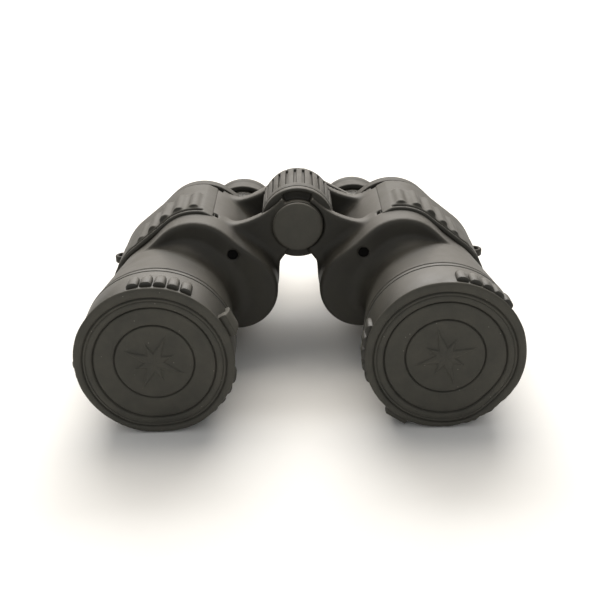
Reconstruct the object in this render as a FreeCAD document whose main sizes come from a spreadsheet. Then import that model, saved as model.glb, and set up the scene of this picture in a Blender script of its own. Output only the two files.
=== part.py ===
import FreeCAD, Part
import math
import os

import Sketcher
from FreeCAD import Vector

# Porro-prism binoculars with covered 50 mm objectives, lying with the hinge on top.
# The optical axes run along Y: the objectives face -Y and the eyepieces face +Y.
# The user stands behind the eyepieces, so the user's right half is the -X half.
# Stations are distances behind the front of the lens caps.  Rises are heights above the
# objective axes.  Reaches are distances out from the middle plane.

SIZES = {
    # whole instrument
    "overall_length": 176.0,
    "axis_height": 34.0,         # objective axes above the surface that the caps stand on
    "objective_reach": 60.9,
    "corner_reach": 48.0,        # where the beam runs forward again, between the two prisms
    "corner_rise": 19.3,
    "eye_reach": 30.5,
    "eye_rise": 8.0,
    "hinge_rise": 33.0,
    "running_gap": 0.06,         # between parts that turn or slide in each other
    "free_gap": 0.4,             # between parts that only pass each other
    # prism housing
    "shell_front": 60.0,
    "shell_rear": 118.0,
    "shell_wall": 2.2,
    "objective_lobe": 27.2,
    "corner_lobe": 20.3,
    "eye_lobe": 19.6,
    "eye_lobe_reach": 29.4,
    "eye_lobe_rise": 6.2,
    "rim_rounding": 1.8,
    # objective neck
    "neck_start": 23.2,
    "neck_radius": 33.0,
    "neck_end": 66.0,
    "neck_end_radius": 28.0,
    "neck_bore": 25.9,
    "nose_front": 4.0,
    "nose_radius": 30.5,
    "nose_bore": 27.2,
    # rubber armour on the outer side of the housing
    "armour_front": 73.0,
    "armour_rear": 116.0,
    "armour_thickness": 2.1,
    "armour_edge_reach": 38.5,
    "armour_lip_length": 3.0,
    "armour_lip_height": 0.7,
    "rib_front": 79.0,
    "rib_length": 33.0,
    "rib_radius": 2.6,
    # rear cover
    "cover_length": 8.0,
    "cover_floor": 2.5,
    "cover_overhang": 0.7,
    "boss_radius": 3.0,
    "boss_length": 14.0,
    "screw_radius": 1.0,
    "screw_head_radius": 1.8,
    "screw_head_length": 1.6,
    "screw_length": 15.0,
    "objective_screw_reach": 22.9,
    "eye_screw_reach": 16.7,
    # rubber grip ring round the objective
    "ring_front": 2.8,
    "ring_step": 3.6,
    "ring_rear": 22.6,
    "ring_nose_radius": 31.7,
    "ring_radius": 33.2,
    "bump_circle": 32.3,
    "bump_radius": 2.2,
    "bump_front": 4.4,
    "bump_length": 11.0,
    # lens cap
    "cap_radius": 34.0,
    "cap_depth": 3.2,
    "cap_back": 2.6,
    "cap_face": 0.8,
    "cap_edge": 1.6,
    "cap_rim_radius": 30.3,
    "cap_band_radius": 26.0,
    "cap_disc_radius": 16.7,
    "cap_groove": 0.8,
    "cap_lip_wall": 0.8,         # lip that presses into the front of the neck
    "cap_lip_rear": 7.6,
    "tab_width": 9.0,
    "tab_thickness": 2.0,
    "tab_length": 11.0,
    # objective lens and its cell
    "cell_front": 9.0,
    "cell_rear": 21.0,
    "lens_radius": 25.2,
    "retainer_length": 1.5,
    "crown_edge": 4.0,
    "flint_edge": 4.0,
    "lens_curve": 128.0,
    "lens_land": 1.8,            # flat rim of each lens face, which its seat bears on
    "cement_gap": 0.05,
    # prisms and their plate
    "plate_front": 88.5,
    "plate_thickness": 3.5,
    "prism_half_length": 22.4,
    "prism_width": 20.0,
    "light_radius": 9.0,
    "clip_thickness": 0.6,
    "clip_width": 6.0,
    "adjuster_reach": 30.3,
    "adjuster_rise": 24.4,
    "adjuster_radius": 2.5,
    "adjuster_sink": 1.0,
    "adjuster_length": 6.0,
    # hinge
    "axle_radius": 6.0,
    "axle_bore": 4.5,
    "front_lug_at": 74.0,
    "front_lug_length": 4.0,
    "front_lug_radius": 13.4,
    "collar_length": 4.1,
    "collar_radius": 17.2,
    "washer_thickness": 0.3,
    "rear_lug_at": 115.7,
    "rear_lug_length": 3.9,
    "rear_lug_radius": 13.4,
    "rear_collar_length": 2.4,
    "rear_collar_radius": 16.6,
    "arm_front": 75.0,
    "arm_thickness": 6.0,
    "rear_arm_front": 112.4,
    "rear_arm_thickness": 5.6,
    "arm_root_reach": 36.0,
    "arm_root_rise": 0.3,
    "arm_tip_reach": 7.1,
    "arm_tip_rise": 12.9,
    "arm_sweep": 39.4,
    "arch_tip_reach": 5.0,
    "arch_tip_drop": 13.2,
    "arch_side_reach": 8.8,
    "arch_shoulder_drop": 18.2,
    "arch_foot_drop": 28.0,
    "hinge_cap_front": 72.5,
    "hinge_cap_radius": 11.75,
    "socket_radius": 3.175,      # quarter-inch tripod thread
    "socket_length": 9.0,
    "socket_mouth_radius": 3.8,  # plain recess that the plug's spigot presses into
    "socket_mouth_length": 2.0,
    "spigot_radius": 3.7,
    "spigot_length": 1.5,
    "hinge_nut_radius": 9.0,
    "hinge_nut_length": 2.2,
    # focusing
    "wheel_front": 83.1,
    "wheel_rear": 112.0,
    "wheel_radius": 17.2,
    "wheel_groove_count": 30.0,
    "wheel_groove_width": 1.7,
    "wheel_groove_depth": 0.9,
    "wheel_rim": 1.5,
    "spindle_front": 98.0,
    "hub_radius": 6.0,
    "hub_flange_radius": 8.6,
    "hub_flange_length": 1.6,
    "bridge_screw_radius": 2.5,
    "bridge_screw_head": 4.4,
    "bridge_screw_length": 7.0,
    "ocular_arm_thickness": 4.0,
    "ocular_arm_hub": 9.0,
    # eyepieces
    "guide_flange_radius": 14.6,
    "guide_flange_front": 121.5,
    "guide_radius": 12.0,
    "guide_bore": 10.6,
    "guide_rear": 138.0,
    "ocular_arm_front": 130.6,
    "barrel_front": 132.4,
    "barrel_neck_radius": 14.4,
    "barrel_step": 142.7,
    "barrel_radius": 15.6,
    "barrel_rear": 162.0,
    "arm_ring_radius": 16.6,
    "field_lens_front": 145.5,
    "ocular_lens_radius": 13.0,
    "ocular_lens_edge": 3.0,
    "ocular_lens_curve": 42.0,
    "ocular_spacer_length": 7.0,
    "eyecup_front": 159.5,
    "eyecup_radius": 18.5,
    "eyecup_rear_radius": 17.6,
    "eyecup_bore": 14.6,
    "diopter_radius": 18.3,
    "diopter_rear": 140.6,
    # strap lugs on the rear covers
    "strap_lug_reach": 4.6,
    "strap_hole_radius": 2.2,
    "strap_lug_thickness": 4.0,
}

RIB_ANGLES = (93.0, 112.0, 132.0, 152.0)    # round the corner lobe, seen from the front
LOWER_RIB_ANGLES = (142.0, 156.0)           # round the objective lobe
BUMPS_IN_GROUP = 5
BUMP_GROUPS = 3
BUMP_SPACING = 9.6                          # degrees
RING_TURN = {"right": 83.0, "left": 60.0}   # degrees from +X to the middle of the top group
TAB_TURN = {"right": 26.0, "left": -124.0}  # degrees from +X to the pull tab of the cap
INWARD = {"right": 1.0, "left": -1.0}       # X direction from each half to the middle

doc = FreeCAD.newDocument("Binoculars")
sheet = doc.addObject("Spreadsheet::Sheet", "Spec")


class Size:
    """A length with its present value and the spreadsheet expression that drives it."""

    def __init__(self, value, text):
        self.value = float(value)
        self.text = text

    def join(self, other, sign, value):
        return Size(value, "(%s %s %s)" % (self.text, sign, as_size(other).text))

    def __add__(self, other):
        return self.join(other, "+", self.value + as_size(other).value)

    def __sub__(self, other):
        return self.join(other, "-", self.value - as_size(other).value)

    def __mul__(self, other):
        return self.join(other, "*", self.value * as_size(other).value)

    def __truediv__(self, other):
        return self.join(other, "/", self.value / as_size(other).value)

    def __rsub__(self, other):
        return as_size(other) - self

    def __rmul__(self, other):
        return as_size(other) * self

    def __radd__(self, other):
        return as_size(other) + self

    def __neg__(self):
        return Size(-self.value, "(0 - %s)" % self.text)


def as_size(number):
    if isinstance(number, Size):
        return number
    return Size(number, "(%r)" % float(number))


class Spec:
    """The spreadsheet's cells as sizes, by alias."""


def fill_sheet():
    for row, (alias, value) in enumerate(SIZES.items(), start=1):
        sheet.set("A%d" % row, alias)
        sheet.set("B%d" % row, str(value))
        sheet.setAlias("B%d" % row, alias)
        setattr(Spec, alias, Size(value, "Spec.%s" % alias))
    doc.recompute()


# ---------------------------------------------------------------- sketch helpers

def new_body(label, base, turn=None):
    """A PartDesign body at base = (x, y, z) sizes, optionally turned about Y."""
    body = doc.addObject("PartDesign::Body", label)
    body.Label = label
    if turn is not None:
        body.Placement.Rotation = FreeCAD.Rotation(Vector(0, -1, 0), turn.value)
        body.setExpression("Placement.Rotation.Angle", turn.text)
    for axis, size in zip("xyz", base):
        body.setExpression("Placement.Base." + axis, as_size(size).text)
    return body


def new_sketch(body, role, offset=0.0):
    """A sketch on the body's own origin plane, offset along the plane's normal."""
    sketch = body.newObject("Sketcher::SketchObject", body.Label + "_sketch")
    plane = [item for item in body.Origin.OriginFeatures if item.Role == role][0]
    sketch.AttachmentSupport = [(plane, "")]
    sketch.MapMode = "FlatFace"
    sketch.setExpression("AttachmentOffset.Base.z", as_size(offset).text)
    return sketch


def section_at(body, station):
    """A sketch square to the optical axis: sketch x is X and sketch y is Z."""
    return new_sketch(body, "XZ_Plane", -as_size(station))


def bind(sketch, constraint, size):
    number = sketch.addConstraint(constraint)
    sketch.setExpression("Constraints[%d]" % number, size.text)


def pin_along(sketch, kind, axis, geometry, point, size):
    """Holds one coordinate of a point at a size; kind is DistanceX or DistanceY."""
    if abs(size.value) < 1e-9:
        sketch.addConstraint(Sketcher.Constraint("PointOnObject", geometry, point, axis))
    elif size.value > 0:
        bind(sketch, Sketcher.Constraint(kind, -1, 1, geometry, point, size.value), size)
    else:
        bind(sketch, Sketcher.Constraint(kind, geometry, point, -1, 1, -size.value), -size)


def pin(sketch, geometry, point, x, y):
    pin_along(sketch, "DistanceX", -2, geometry, point, as_size(x))
    pin_along(sketch, "DistanceY", -1, geometry, point, as_size(y))


def draw_circle(sketch, x, y, radius):
    centre = Vector(as_size(x).value, as_size(y).value, 0)
    circle = Part.Circle(centre, Vector(0, 0, 1), radius.value)
    geometry = sketch.addGeometry(circle, False)
    pin(sketch, geometry, 3, x, y)
    bind(sketch, Sketcher.Constraint("Radius", geometry, radius.value), radius)


def arc_between(start, end, radius, bulge):
    """An arc from start to end and whether it runs from start; bulge is +1 to bow left."""
    middle = (start + end) * 0.5
    half = (end - start) * 0.5
    left = Vector(-half.y, half.x, 0).normalize()
    depth = math.sqrt(radius ** 2 - half.Length ** 2)
    centre = middle - left * (depth * bulge)
    angles = [math.atan2((p - centre).y, (p - centre).x) for p in (start, end)]
    forward = bulge < 0
    if not forward:
        angles.reverse()
    if angles[1] < angles[0]:
        angles[1] += 2 * math.pi
    circle = Part.Circle(centre, Vector(0, 0, 1), radius)
    return Part.ArcOfCircle(circle, angles[0], angles[1]), forward


def draw_outline(sketch, corners, arcs=None):
    """A closed outline through corners; arcs maps an edge number to (radius, bulge)."""
    arcs = arcs or {}
    corners = [(as_size(x), as_size(y)) for x, y in corners]
    points = [Vector(x.value, y.value, 0) for x, y in corners]
    count = len(points)
    edges = []
    for number in range(count):
        start = points[number]
        end = points[(number + 1) % count]
        if number in arcs:
            radius, bulge = arcs[number]
            arc, forward = arc_between(start, end, radius.value, bulge)
            geometry = sketch.addGeometry(arc, False)
            bind(sketch, Sketcher.Constraint("Radius", geometry, radius.value), radius)
            edges.append((geometry, (1, 2) if forward else (2, 1)))
        else:
            geometry = sketch.addGeometry(Part.LineSegment(start, end), False)
            edges.append((geometry, (1, 2)))
    for number in range(count):
        geometry, ends = edges[number]
        following, next_ends = edges[(number + 1) % count]
        sketch.addConstraint(
            Sketcher.Constraint("Coincident", geometry, ends[1], following, next_ends[0]))
        pin(sketch, geometry, ends[0], *corners[number])


def draw_lobes(sketch, first, second):
    """Two circles (x, y, radius) wrapped by their outer tangents, like a belt."""
    first = [as_size(size) for size in first]
    second = [as_size(size) for size in second]
    (x1, y1, r1), (x2, y2, r2) = [[size.value for size in lobe] for lobe in (first, second)]
    length = math.hypot(x2 - x1, y2 - y1)
    heading = math.atan2(y2 - y1, x2 - x1)
    spread = math.acos((r1 - r2) / length)
    left, right = heading + spread, heading - spread
    centres = (Vector(x1, y1, 0), Vector(x2, y2, 0))
    radii = (r1, r2)

    def rim(end, angle):
        return centres[end] + Vector(math.cos(angle), math.sin(angle), 0) * radii[end]

    def arc(end, start, stop):
        circle = Part.Circle(centres[end], Vector(0, 0, 1), radii[end])
        return sketch.addGeometry(Part.ArcOfCircle(circle, start, stop), False)

    back = arc(0, left, right + 2 * math.pi)
    lower = sketch.addGeometry(Part.LineSegment(rim(0, right), rim(1, right)), False)
    front = arc(1, right, left)
    upper = sketch.addGeometry(Part.LineSegment(rim(1, left), rim(0, left)), False)
    for geometry, (x, y, radius) in ((back, first), (front, second)):
        pin(sketch, geometry, 3, x, y)
        bind(sketch, Sketcher.Constraint("Radius", geometry, radius.value), radius)
    loop = (back, lower, front, upper)
    for here, following in zip(loop, loop[1:] + loop[:1]):
        sketch.addConstraint(Sketcher.Constraint("Tangent", here, 2, following, 1))


def solid_volume(body):
    return body.Shape.Volume if body.Tip else 0.0


def check_change(body, before, grows, what):
    change = solid_volume(body) - before
    if change * (1 if grows else -1) <= 0:
        raise RuntimeError("%s of %s changed nothing" % (what, body.Label))


def pad(body, sketch, length, midplane=False):
    """Material behind a section, toward +Y, or on both sides of it."""
    before = solid_volume(body)
    feature = body.newObject("PartDesign::Pad", body.Label + "_pad")
    feature.Profile = sketch
    feature.setExpression("Length", as_size(length).text)
    feature.Midplane = midplane
    feature.Reversed = not midplane
    sketch.Visibility = False
    doc.recompute()
    check_change(body, before, True, "pad")
    return feature


def pocket(body, sketch, length, midplane=False):
    """A cut behind a section, toward +Y, or on both sides of it."""
    before = solid_volume(body)
    feature = body.newObject("PartDesign::Pocket", body.Label + "_pocket")
    feature.Profile = sketch
    feature.setExpression("Length", as_size(length).text)
    feature.Midplane = midplane
    doc.recompute()
    check_change(body, before, False, "pocket")
    return feature


def revolve(body, profile, arcs=None):
    """A turned solid round the body's Y axis from a profile of (radius, station)."""
    sketch = new_sketch(body, "XY_Plane")
    draw_outline(sketch, profile, arcs)
    before = solid_volume(body)
    feature = body.newObject("PartDesign::Revolution", body.Label + "_turning")
    feature.Profile = sketch
    feature.ReferenceAxis = (sketch, ["V_Axis"])
    feature.Angle = 360.0
    doc.recompute()
    check_change(body, before, True, "turning")
    return feature


def ring_profile(inner, outer, front, rear):
    return [(inner, front), (outer, front), (outer, rear), (inner, rear)]


def ring_pattern(body, feature, count):
    """Repeats one feature evenly round the body's Y axis."""
    pattern = body.newObject("PartDesign::PolarPattern", body.Label + "_pattern")
    pattern.Originals = [feature]
    axis = [item for item in body.Origin.OriginFeatures if item.Role == "Y_Axis"][0]
    pattern.Axis = (axis, [""])
    pattern.Angle = 360.0
    pattern.setExpression("Occurrences", count.text)
    body.Tip = pattern
    doc.recompute()
    return pattern


def round_edges(body, feature, radius, wanted):
    """Rounds the feature's edges that wanted(edge) picks."""
    names = ["Edge%d" % number for number, edge in enumerate(feature.Shape.Edges, start=1)
             if wanted(edge)]
    fillet = body.newObject("PartDesign::Fillet", body.Label + "_rounding")
    fillet.Base = (feature, names)
    fillet.setExpression("Radius", as_size(radius).text)
    doc.recompute()
    return fillet


# ---------------------------------------------------------------- places

def middle_base():
    return (as_size(0.0), -Spec.overall_length / 2, Spec.axis_height + Spec.hinge_rise)


def half_base(side):
    """The objective axis of one half, at the front of the cap."""
    return (Spec.objective_reach * -INWARD[side], -Spec.overall_length / 2, Spec.axis_height)


def eye_base(side):
    return (Spec.eye_reach * -INWARD[side], -Spec.overall_length / 2,
            Spec.axis_height + Spec.eye_rise)


def across(side, reach):
    """X of a reach in a half's own frame, whose origin is on the objective axis."""
    return (Spec.objective_reach - reach) * INWARD[side]


def objective_lobe(side, extra=0.0):
    return (as_size(0.0), as_size(0.0), Spec.objective_lobe + extra)


def corner_lobe(side, extra=0.0):
    return (across(side, Spec.corner_reach), Spec.corner_rise, Spec.corner_lobe + extra)


def eye_lobe(side, extra=0.0):
    return (across(side, Spec.eye_lobe_reach), Spec.eye_lobe_rise, Spec.eye_lobe + extra)


def lobe_pair(side, which, extra=0.0):
    """The outer pair holds the rear prism, the inner pair holds the front prism."""
    if which == "outer":
        return objective_lobe(side, extra), corner_lobe(side, extra)
    return corner_lobe(side, extra), eye_lobe(side, extra)


def cover_screw_places(side):
    """Three screws of a rear cover, clear of the prism and of the ocular guide."""
    tilt = math.atan2(SIZES["corner_rise"], SIZES["objective_reach"] - SIZES["corner_reach"])
    low_x = Spec.objective_screw_reach * (math.sin(tilt) * INWARD[side])
    low_z = Spec.objective_screw_reach * -math.cos(tilt)
    eye_side = math.sqrt(0.5)
    eye_x = across(side, Spec.eye_reach) + Spec.eye_screw_reach * (eye_side * INWARD[side])
    eye_z = Spec.eye_rise - Spec.eye_screw_reach * eye_side
    return [(low_x, low_z), (-low_x, -low_z), (eye_x, eye_z)]


def arm_outline(side):
    """The web from the housing up to the hinge, in the half's own frame."""
    def at(reach, rise):
        return across(side, reach), Spec.hinge_rise + rise

    inner_reach = Spec.axle_radius * 0.4
    inner_rise = Spec.axle_radius * 1.3
    foot_reach = Spec.eye_lobe_reach - Spec.eye_lobe * 0.5
    return [
        at(Spec.arm_root_reach, Spec.arm_root_rise),
        at(Spec.arm_tip_reach, Spec.arm_tip_rise),
        at(inner_reach, inner_rise),
        at(inner_reach, -inner_rise),
        at(Spec.arch_tip_reach, -Spec.arch_tip_drop),
        at(Spec.arch_side_reach, -Spec.arch_shoulder_drop),
        at(Spec.eye_lobe_reach - Spec.eye_lobe * 0.9, -Spec.arch_foot_drop),
        at(foot_reach, -Spec.arch_foot_drop),
        at(Spec.arm_root_reach, -Spec.arm_root_rise - Spec.corner_lobe / 2),
    ]


# ---------------------------------------------------------------- one half

def add_arm(body, side, front, thickness):
    sketch = section_at(body, front)
    bulge = INWARD[side]
    draw_outline(sketch, arm_outline(side), {0: (Spec.arm_sweep, -bulge)})
    pad(body, sketch, thickness)


def add_hinge_disc(body, side, front, length, radius):
    sketch = section_at(body, front)
    draw_circle(sketch, across(side, 0.0), Spec.hinge_rise, radius)
    pad(body, sketch, length)


def cut_hinge_disc(body, side, front, length, radius):
    sketch = section_at(body, front)
    draw_circle(sketch, across(side, 0.0), Spec.hinge_rise, radius)
    pocket(body, sketch, length)


def make_body(side):
    """The cast half: objective neck, prism housing, hinge arms and their lugs."""
    body = new_body(side + "_body", half_base(side))
    shell_length = Spec.shell_rear - Spec.shell_front
    cavity_front = Spec.shell_front + Spec.shell_wall
    for which in ("outer", "inner"):
        sketch = section_at(body, Spec.shell_front)
        draw_lobes(sketch, *lobe_pair(side, which))
        pad(body, sketch, shell_length)
    rim = body.Tip
    front_y = SIZES["shell_front"]
    round_edges(body, rim, Spec.rim_rounding,
                lambda edge: all(abs(v.Y - front_y) < 0.01 for v in edge.Vertexes))
    revolve(body, [
        (Spec.nose_bore, Spec.nose_front), (Spec.nose_radius, Spec.nose_front),
        (Spec.nose_radius, Spec.neck_start), (Spec.neck_radius, Spec.neck_start),
        (Spec.neck_end_radius, Spec.neck_end), (Spec.neck_bore, Spec.neck_end),
        (Spec.neck_bore, Spec.neck_start), (Spec.nose_bore, Spec.neck_start),
    ])
    add_arm(body, side, Spec.arm_front, Spec.arm_thickness)
    add_arm(body, side, Spec.rear_arm_front, Spec.rear_arm_thickness)
    for which in ("outer", "inner"):
        sketch = section_at(body, cavity_front)
        draw_lobes(sketch, *lobe_pair(side, which, -Spec.shell_wall))
        pocket(body, sketch, Spec.shell_rear - cavity_front)
    sketch = section_at(body, Spec.neck_start)
    draw_circle(sketch, 0.0, 0.0, Spec.neck_bore)
    pocket(body, sketch, Spec.neck_end - Spec.neck_start)
    add_screw_bosses(body, side)
    shape_hinge(body, side)
    sketch = section_at(body, Spec.shell_front)
    draw_circle(sketch, across(side, Spec.adjuster_reach), Spec.adjuster_rise,
                Spec.adjuster_radius)
    pocket(body, sketch, Spec.shell_wall)
    return body


def add_screw_bosses(body, side):
    boss_front = Spec.shell_rear - Spec.boss_length
    sketch = section_at(body, boss_front)
    for x, z in cover_screw_places(side):
        draw_circle(sketch, x, z, Spec.boss_radius)
    pad(body, sketch, Spec.boss_length)
    sketch = section_at(body, boss_front)
    for x, z in cover_screw_places(side):
        draw_circle(sketch, x, z, Spec.screw_radius)
    pocket(body, sketch, Spec.boss_length)


def collar_front():
    return Spec.front_lug_at + Spec.front_lug_length + Spec.washer_thickness * 1.5


def rear_collar_front():
    return Spec.rear_lug_at - Spec.washer_thickness * 1.5 - Spec.rear_collar_length


def shape_hinge(body, side):
    """The right half carries the outer lugs, the left half the collars between them."""
    if side == "right":
        cut_hinge_disc(body, side, Spec.front_lug_at + Spec.front_lug_length,
                       Spec.wheel_front - Spec.front_lug_at - Spec.front_lug_length,
                       Spec.collar_radius + Spec.free_gap)
        cut_hinge_disc(body, side, Spec.rear_arm_front,
                       Spec.rear_lug_at - Spec.rear_arm_front,
                       Spec.rear_collar_radius + Spec.free_gap)
        add_hinge_disc(body, side, Spec.front_lug_at, Spec.front_lug_length,
                       Spec.front_lug_radius)
        add_hinge_disc(body, side, Spec.rear_lug_at, Spec.rear_lug_length,
                       Spec.rear_lug_radius)
        bore = Spec.axle_radius
    else:
        cut_hinge_disc(body, side, Spec.front_lug_at, collar_front() - Spec.front_lug_at,
                       Spec.front_lug_radius + Spec.free_gap)
        cut_hinge_disc(body, side, Spec.rear_lug_at - Spec.washer_thickness * 1.5,
                       Spec.rear_lug_length + Spec.washer_thickness * 1.5,
                       Spec.rear_lug_radius + Spec.free_gap)
        add_hinge_disc(body, side, collar_front(), Spec.collar_length, Spec.collar_radius)
        add_hinge_disc(body, side, rear_collar_front(), Spec.rear_collar_length,
                       Spec.rear_collar_radius)
        bore = Spec.axle_radius + Spec.running_gap
    cut_hinge_disc(body, side, Spec.front_lug_at,
                   Spec.rear_lug_at + Spec.rear_lug_length - Spec.front_lug_at, bore)


def make_armour(side):
    """Rubber skin on the outer side of the housing, with a lip and long finger ribs."""
    body = new_body(side + "_armour", half_base(side))
    length = Spec.armour_rear - Spec.armour_front
    sketch = section_at(body, Spec.armour_front)
    draw_lobes(sketch, *lobe_pair(side, "outer", Spec.armour_thickness))
    pad(body, sketch, length)
    sketch = section_at(body, Spec.armour_front)
    draw_lobes(sketch, *lobe_pair(side, "outer", Spec.armour_thickness
                                  + Spec.armour_lip_height))
    pad(body, sketch, Spec.armour_lip_length)
    add_ribs(body, side)
    for which in ("outer", "inner"):
        sketch = section_at(body, Spec.armour_front)
        draw_lobes(sketch, *lobe_pair(side, which))
        pocket(body, sketch, length)
    edge = across(side, Spec.armour_edge_reach)
    far = across(side, 0.0)
    height = Spec.objective_lobe * 2
    sketch = section_at(body, Spec.armour_front)
    draw_outline(sketch, [(edge, -height), (far, -height), (far, height), (edge, height)])
    pocket(body, sketch, length)
    return body


def add_ribs(body, side):
    sketch = section_at(body, Spec.rib_front)
    for (x, z, radius), angles in ((corner_lobe(side), RIB_ANGLES),
                                   (objective_lobe(side), LOWER_RIB_ANGLES)):
        for angle in angles:
            turn = math.radians(angle)
            reach = radius + Spec.armour_thickness - Spec.rib_radius * 0.4
            draw_circle(sketch, x + reach * (math.cos(turn) * INWARD[side]),
                        z + reach * math.sin(turn), Spec.rib_radius)
    pad(body, sketch, Spec.rib_length)


def make_rear_cover(side):
    """The lid of the prism housing, with the strap lug on its outer side."""
    body = new_body(side + "_rear_cover", half_base(side))
    for which in ("outer", "inner"):
        sketch = section_at(body, Spec.shell_rear)
        draw_lobes(sketch, *lobe_pair(side, which, Spec.cover_overhang))
        pad(body, sketch, Spec.cover_length)
    add_strap_lug(body, side)
    hollow = Spec.cover_length - Spec.cover_floor
    for which in ("outer", "inner"):
        sketch = section_at(body, Spec.shell_rear)
        draw_lobes(sketch, *lobe_pair(side, which, -Spec.shell_wall))
        pocket(body, sketch, hollow)
    sketch = section_at(body, Spec.shell_rear + hollow)
    draw_circle(sketch, across(side, Spec.eye_reach), Spec.eye_rise,
                Spec.guide_flange_radius)
    pocket(body, sketch, Spec.cover_floor)
    sketch = section_at(body, Spec.shell_rear)
    for x, z in cover_screw_places(side):
        draw_circle(sketch, x, z, Spec.screw_radius)
    pocket(body, sketch, Spec.cover_length)
    sketch = section_at(body, Spec.shell_rear + Spec.cover_length - Spec.screw_head_length)
    for x, z in cover_screw_places(side):
        draw_circle(sketch, x, z, Spec.screw_head_radius)
    pocket(body, sketch, Spec.screw_head_length)
    return body


def add_strap_lug(body, side):
    """An ear standing out from the cover, with an upright hole for the strap."""
    outward = -INWARD[side]
    root = (Spec.objective_lobe - Spec.shell_wall / 2) * outward
    tip = (Spec.objective_lobe + Spec.strap_lug_reach) * outward
    middle = Spec.shell_rear + Spec.cover_length / 2
    ear = Spec.cover_length / 2
    sketch = new_sketch(body, "XY_Plane")
    draw_lobes(sketch, (root, middle, ear), (tip, middle, ear))
    pad(body, sketch, Spec.strap_lug_thickness, midplane=True)
    sketch = new_sketch(body, "XY_Plane")
    draw_circle(sketch, tip, middle, Spec.strap_hole_radius)
    pocket(body, sketch, Spec.strap_lug_thickness, midplane=True)


def make_cover_screws(side):
    """Three identical screws that hold the rear cover."""
    body = new_body(side + "_cover_screws", half_base(side))
    head_front = Spec.shell_rear + Spec.cover_length - Spec.screw_head_length
    solids = []
    for number, (x, z) in enumerate(cover_screw_places(side)):
        base = (Spec.objective_reach * -INWARD[side] + x, -Spec.overall_length / 2,
                Spec.axis_height + z)
        screw = body if number == 0 else new_body("%s_screw_%d" % (side, number), base)
        if number == 0:
            for axis, size in zip("xyz", base):
                screw.setExpression("Placement.Base." + axis, size.text)
        revolve(screw, [
            (0.0, head_front - Spec.screw_length), (Spec.screw_radius,
                                                    head_front - Spec.screw_length),
            (Spec.screw_radius, head_front), (Spec.screw_head_radius, head_front),
            (Spec.screw_head_radius, head_front + Spec.screw_head_length),
            (0.0, head_front + Spec.screw_head_length),
        ])
        solids.append(screw)
    return group_of(side + "_cover_screws", solids)


def group_of(label, pieces):
    """Identical pieces kept as separate solids of one node."""
    group = doc.addObject("Part::Compound", label + "_set")
    group.Links = pieces
    pieces[0].Label = label + "_first"
    group.Label = label
    doc.recompute()
    return group


def make_objective_ring(side):
    """Rubber grip ring with three groups of scallop bumps, stepped for the lens cap."""
    body = new_body(side + "_objective_ring", half_base(side))
    revolve(body, [
        (Spec.nose_radius, Spec.nose_front), (Spec.nose_bore, Spec.nose_front),
        (Spec.nose_bore, Spec.ring_front), (Spec.ring_nose_radius, Spec.ring_front),
        (Spec.ring_nose_radius, Spec.ring_step), (Spec.ring_radius, Spec.ring_step),
        (Spec.ring_radius, Spec.ring_rear), (Spec.nose_radius, Spec.ring_rear),
    ])
    sketch = section_at(body, Spec.bump_front)
    middle = (BUMPS_IN_GROUP - 1) / 2
    for group in range(BUMP_GROUPS):
        for number in range(BUMPS_IN_GROUP):
            angle = (RING_TURN[side] + group * 360.0 / BUMP_GROUPS
                     + (number - middle) * BUMP_SPACING)
            turn = math.radians(angle)
            draw_circle(sketch, Spec.bump_circle * math.cos(turn),
                        Spec.bump_circle * math.sin(turn), Spec.bump_radius)
    pad(body, sketch, Spec.bump_length)
    sketch = section_at(body, Spec.nose_front)
    draw_circle(sketch, 0.0, 0.0, Spec.nose_radius)
    pocket(body, sketch, Spec.ring_rear - Spec.nose_front)
    return body


def make_lens_cap(side):
    """Soft push-in cap: round rim, two grooves, a raised band, a centre disc and a lip."""
    body = new_body(side + "_lens_cap", half_base(side))
    bore = Spec.ring_nose_radius + Spec.running_gap
    groove_floor = Spec.cap_face + Spec.cap_groove
    disc = Spec.cap_disc_radius
    band = Spec.cap_band_radius
    rim = Spec.cap_rim_radius
    lip = Spec.nose_bore - Spec.running_gap
    revolve(body, [
        (0.0, Spec.cap_face), (disc - Spec.cap_groove, Spec.cap_face),
        (disc - Spec.cap_groove / 2, groove_floor), (disc + Spec.cap_groove / 2, groove_floor),
        (disc + Spec.cap_groove, Spec.cap_face), (band - Spec.cap_groove * 2, Spec.cap_face),
        (band - Spec.cap_groove * 1.5, groove_floor),
        (band - Spec.cap_groove / 2, groove_floor), (band, Spec.cap_face / 2),
        (rim - Spec.cap_groove * 1.5, Spec.cap_face / 2),
        (rim - Spec.cap_groove, groove_floor), (rim, groove_floor),
        (rim + Spec.cap_groove / 2, 0.0), (Spec.cap_radius - Spec.cap_edge, 0.0),
        (Spec.cap_radius, Spec.cap_edge), (Spec.cap_radius, Spec.cap_depth),
        (bore, Spec.cap_depth), (bore, Spec.cap_back), (lip, Spec.cap_back),
        (lip, Spec.cap_lip_rear), (lip - Spec.cap_lip_wall, Spec.cap_lip_rear),
        (lip - Spec.cap_lip_wall, Spec.cap_back), (0.0, Spec.cap_back),
    ])
    tab_root = Spec.cap_radius - Spec.cap_edge
    tab_foot = Spec.cap_radius + Spec.free_gap
    tab_top = tab_foot + Spec.tab_thickness
    add_tab_strip(body, side, Spec.cap_edge, Spec.cap_depth - Spec.cap_edge,
                  tab_root, tab_top)
    add_tab_strip(body, side, Spec.cap_depth, Spec.tab_length - Spec.cap_depth
                  + Spec.cap_back, tab_foot + Spec.free_gap, tab_top)
    return body


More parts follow.
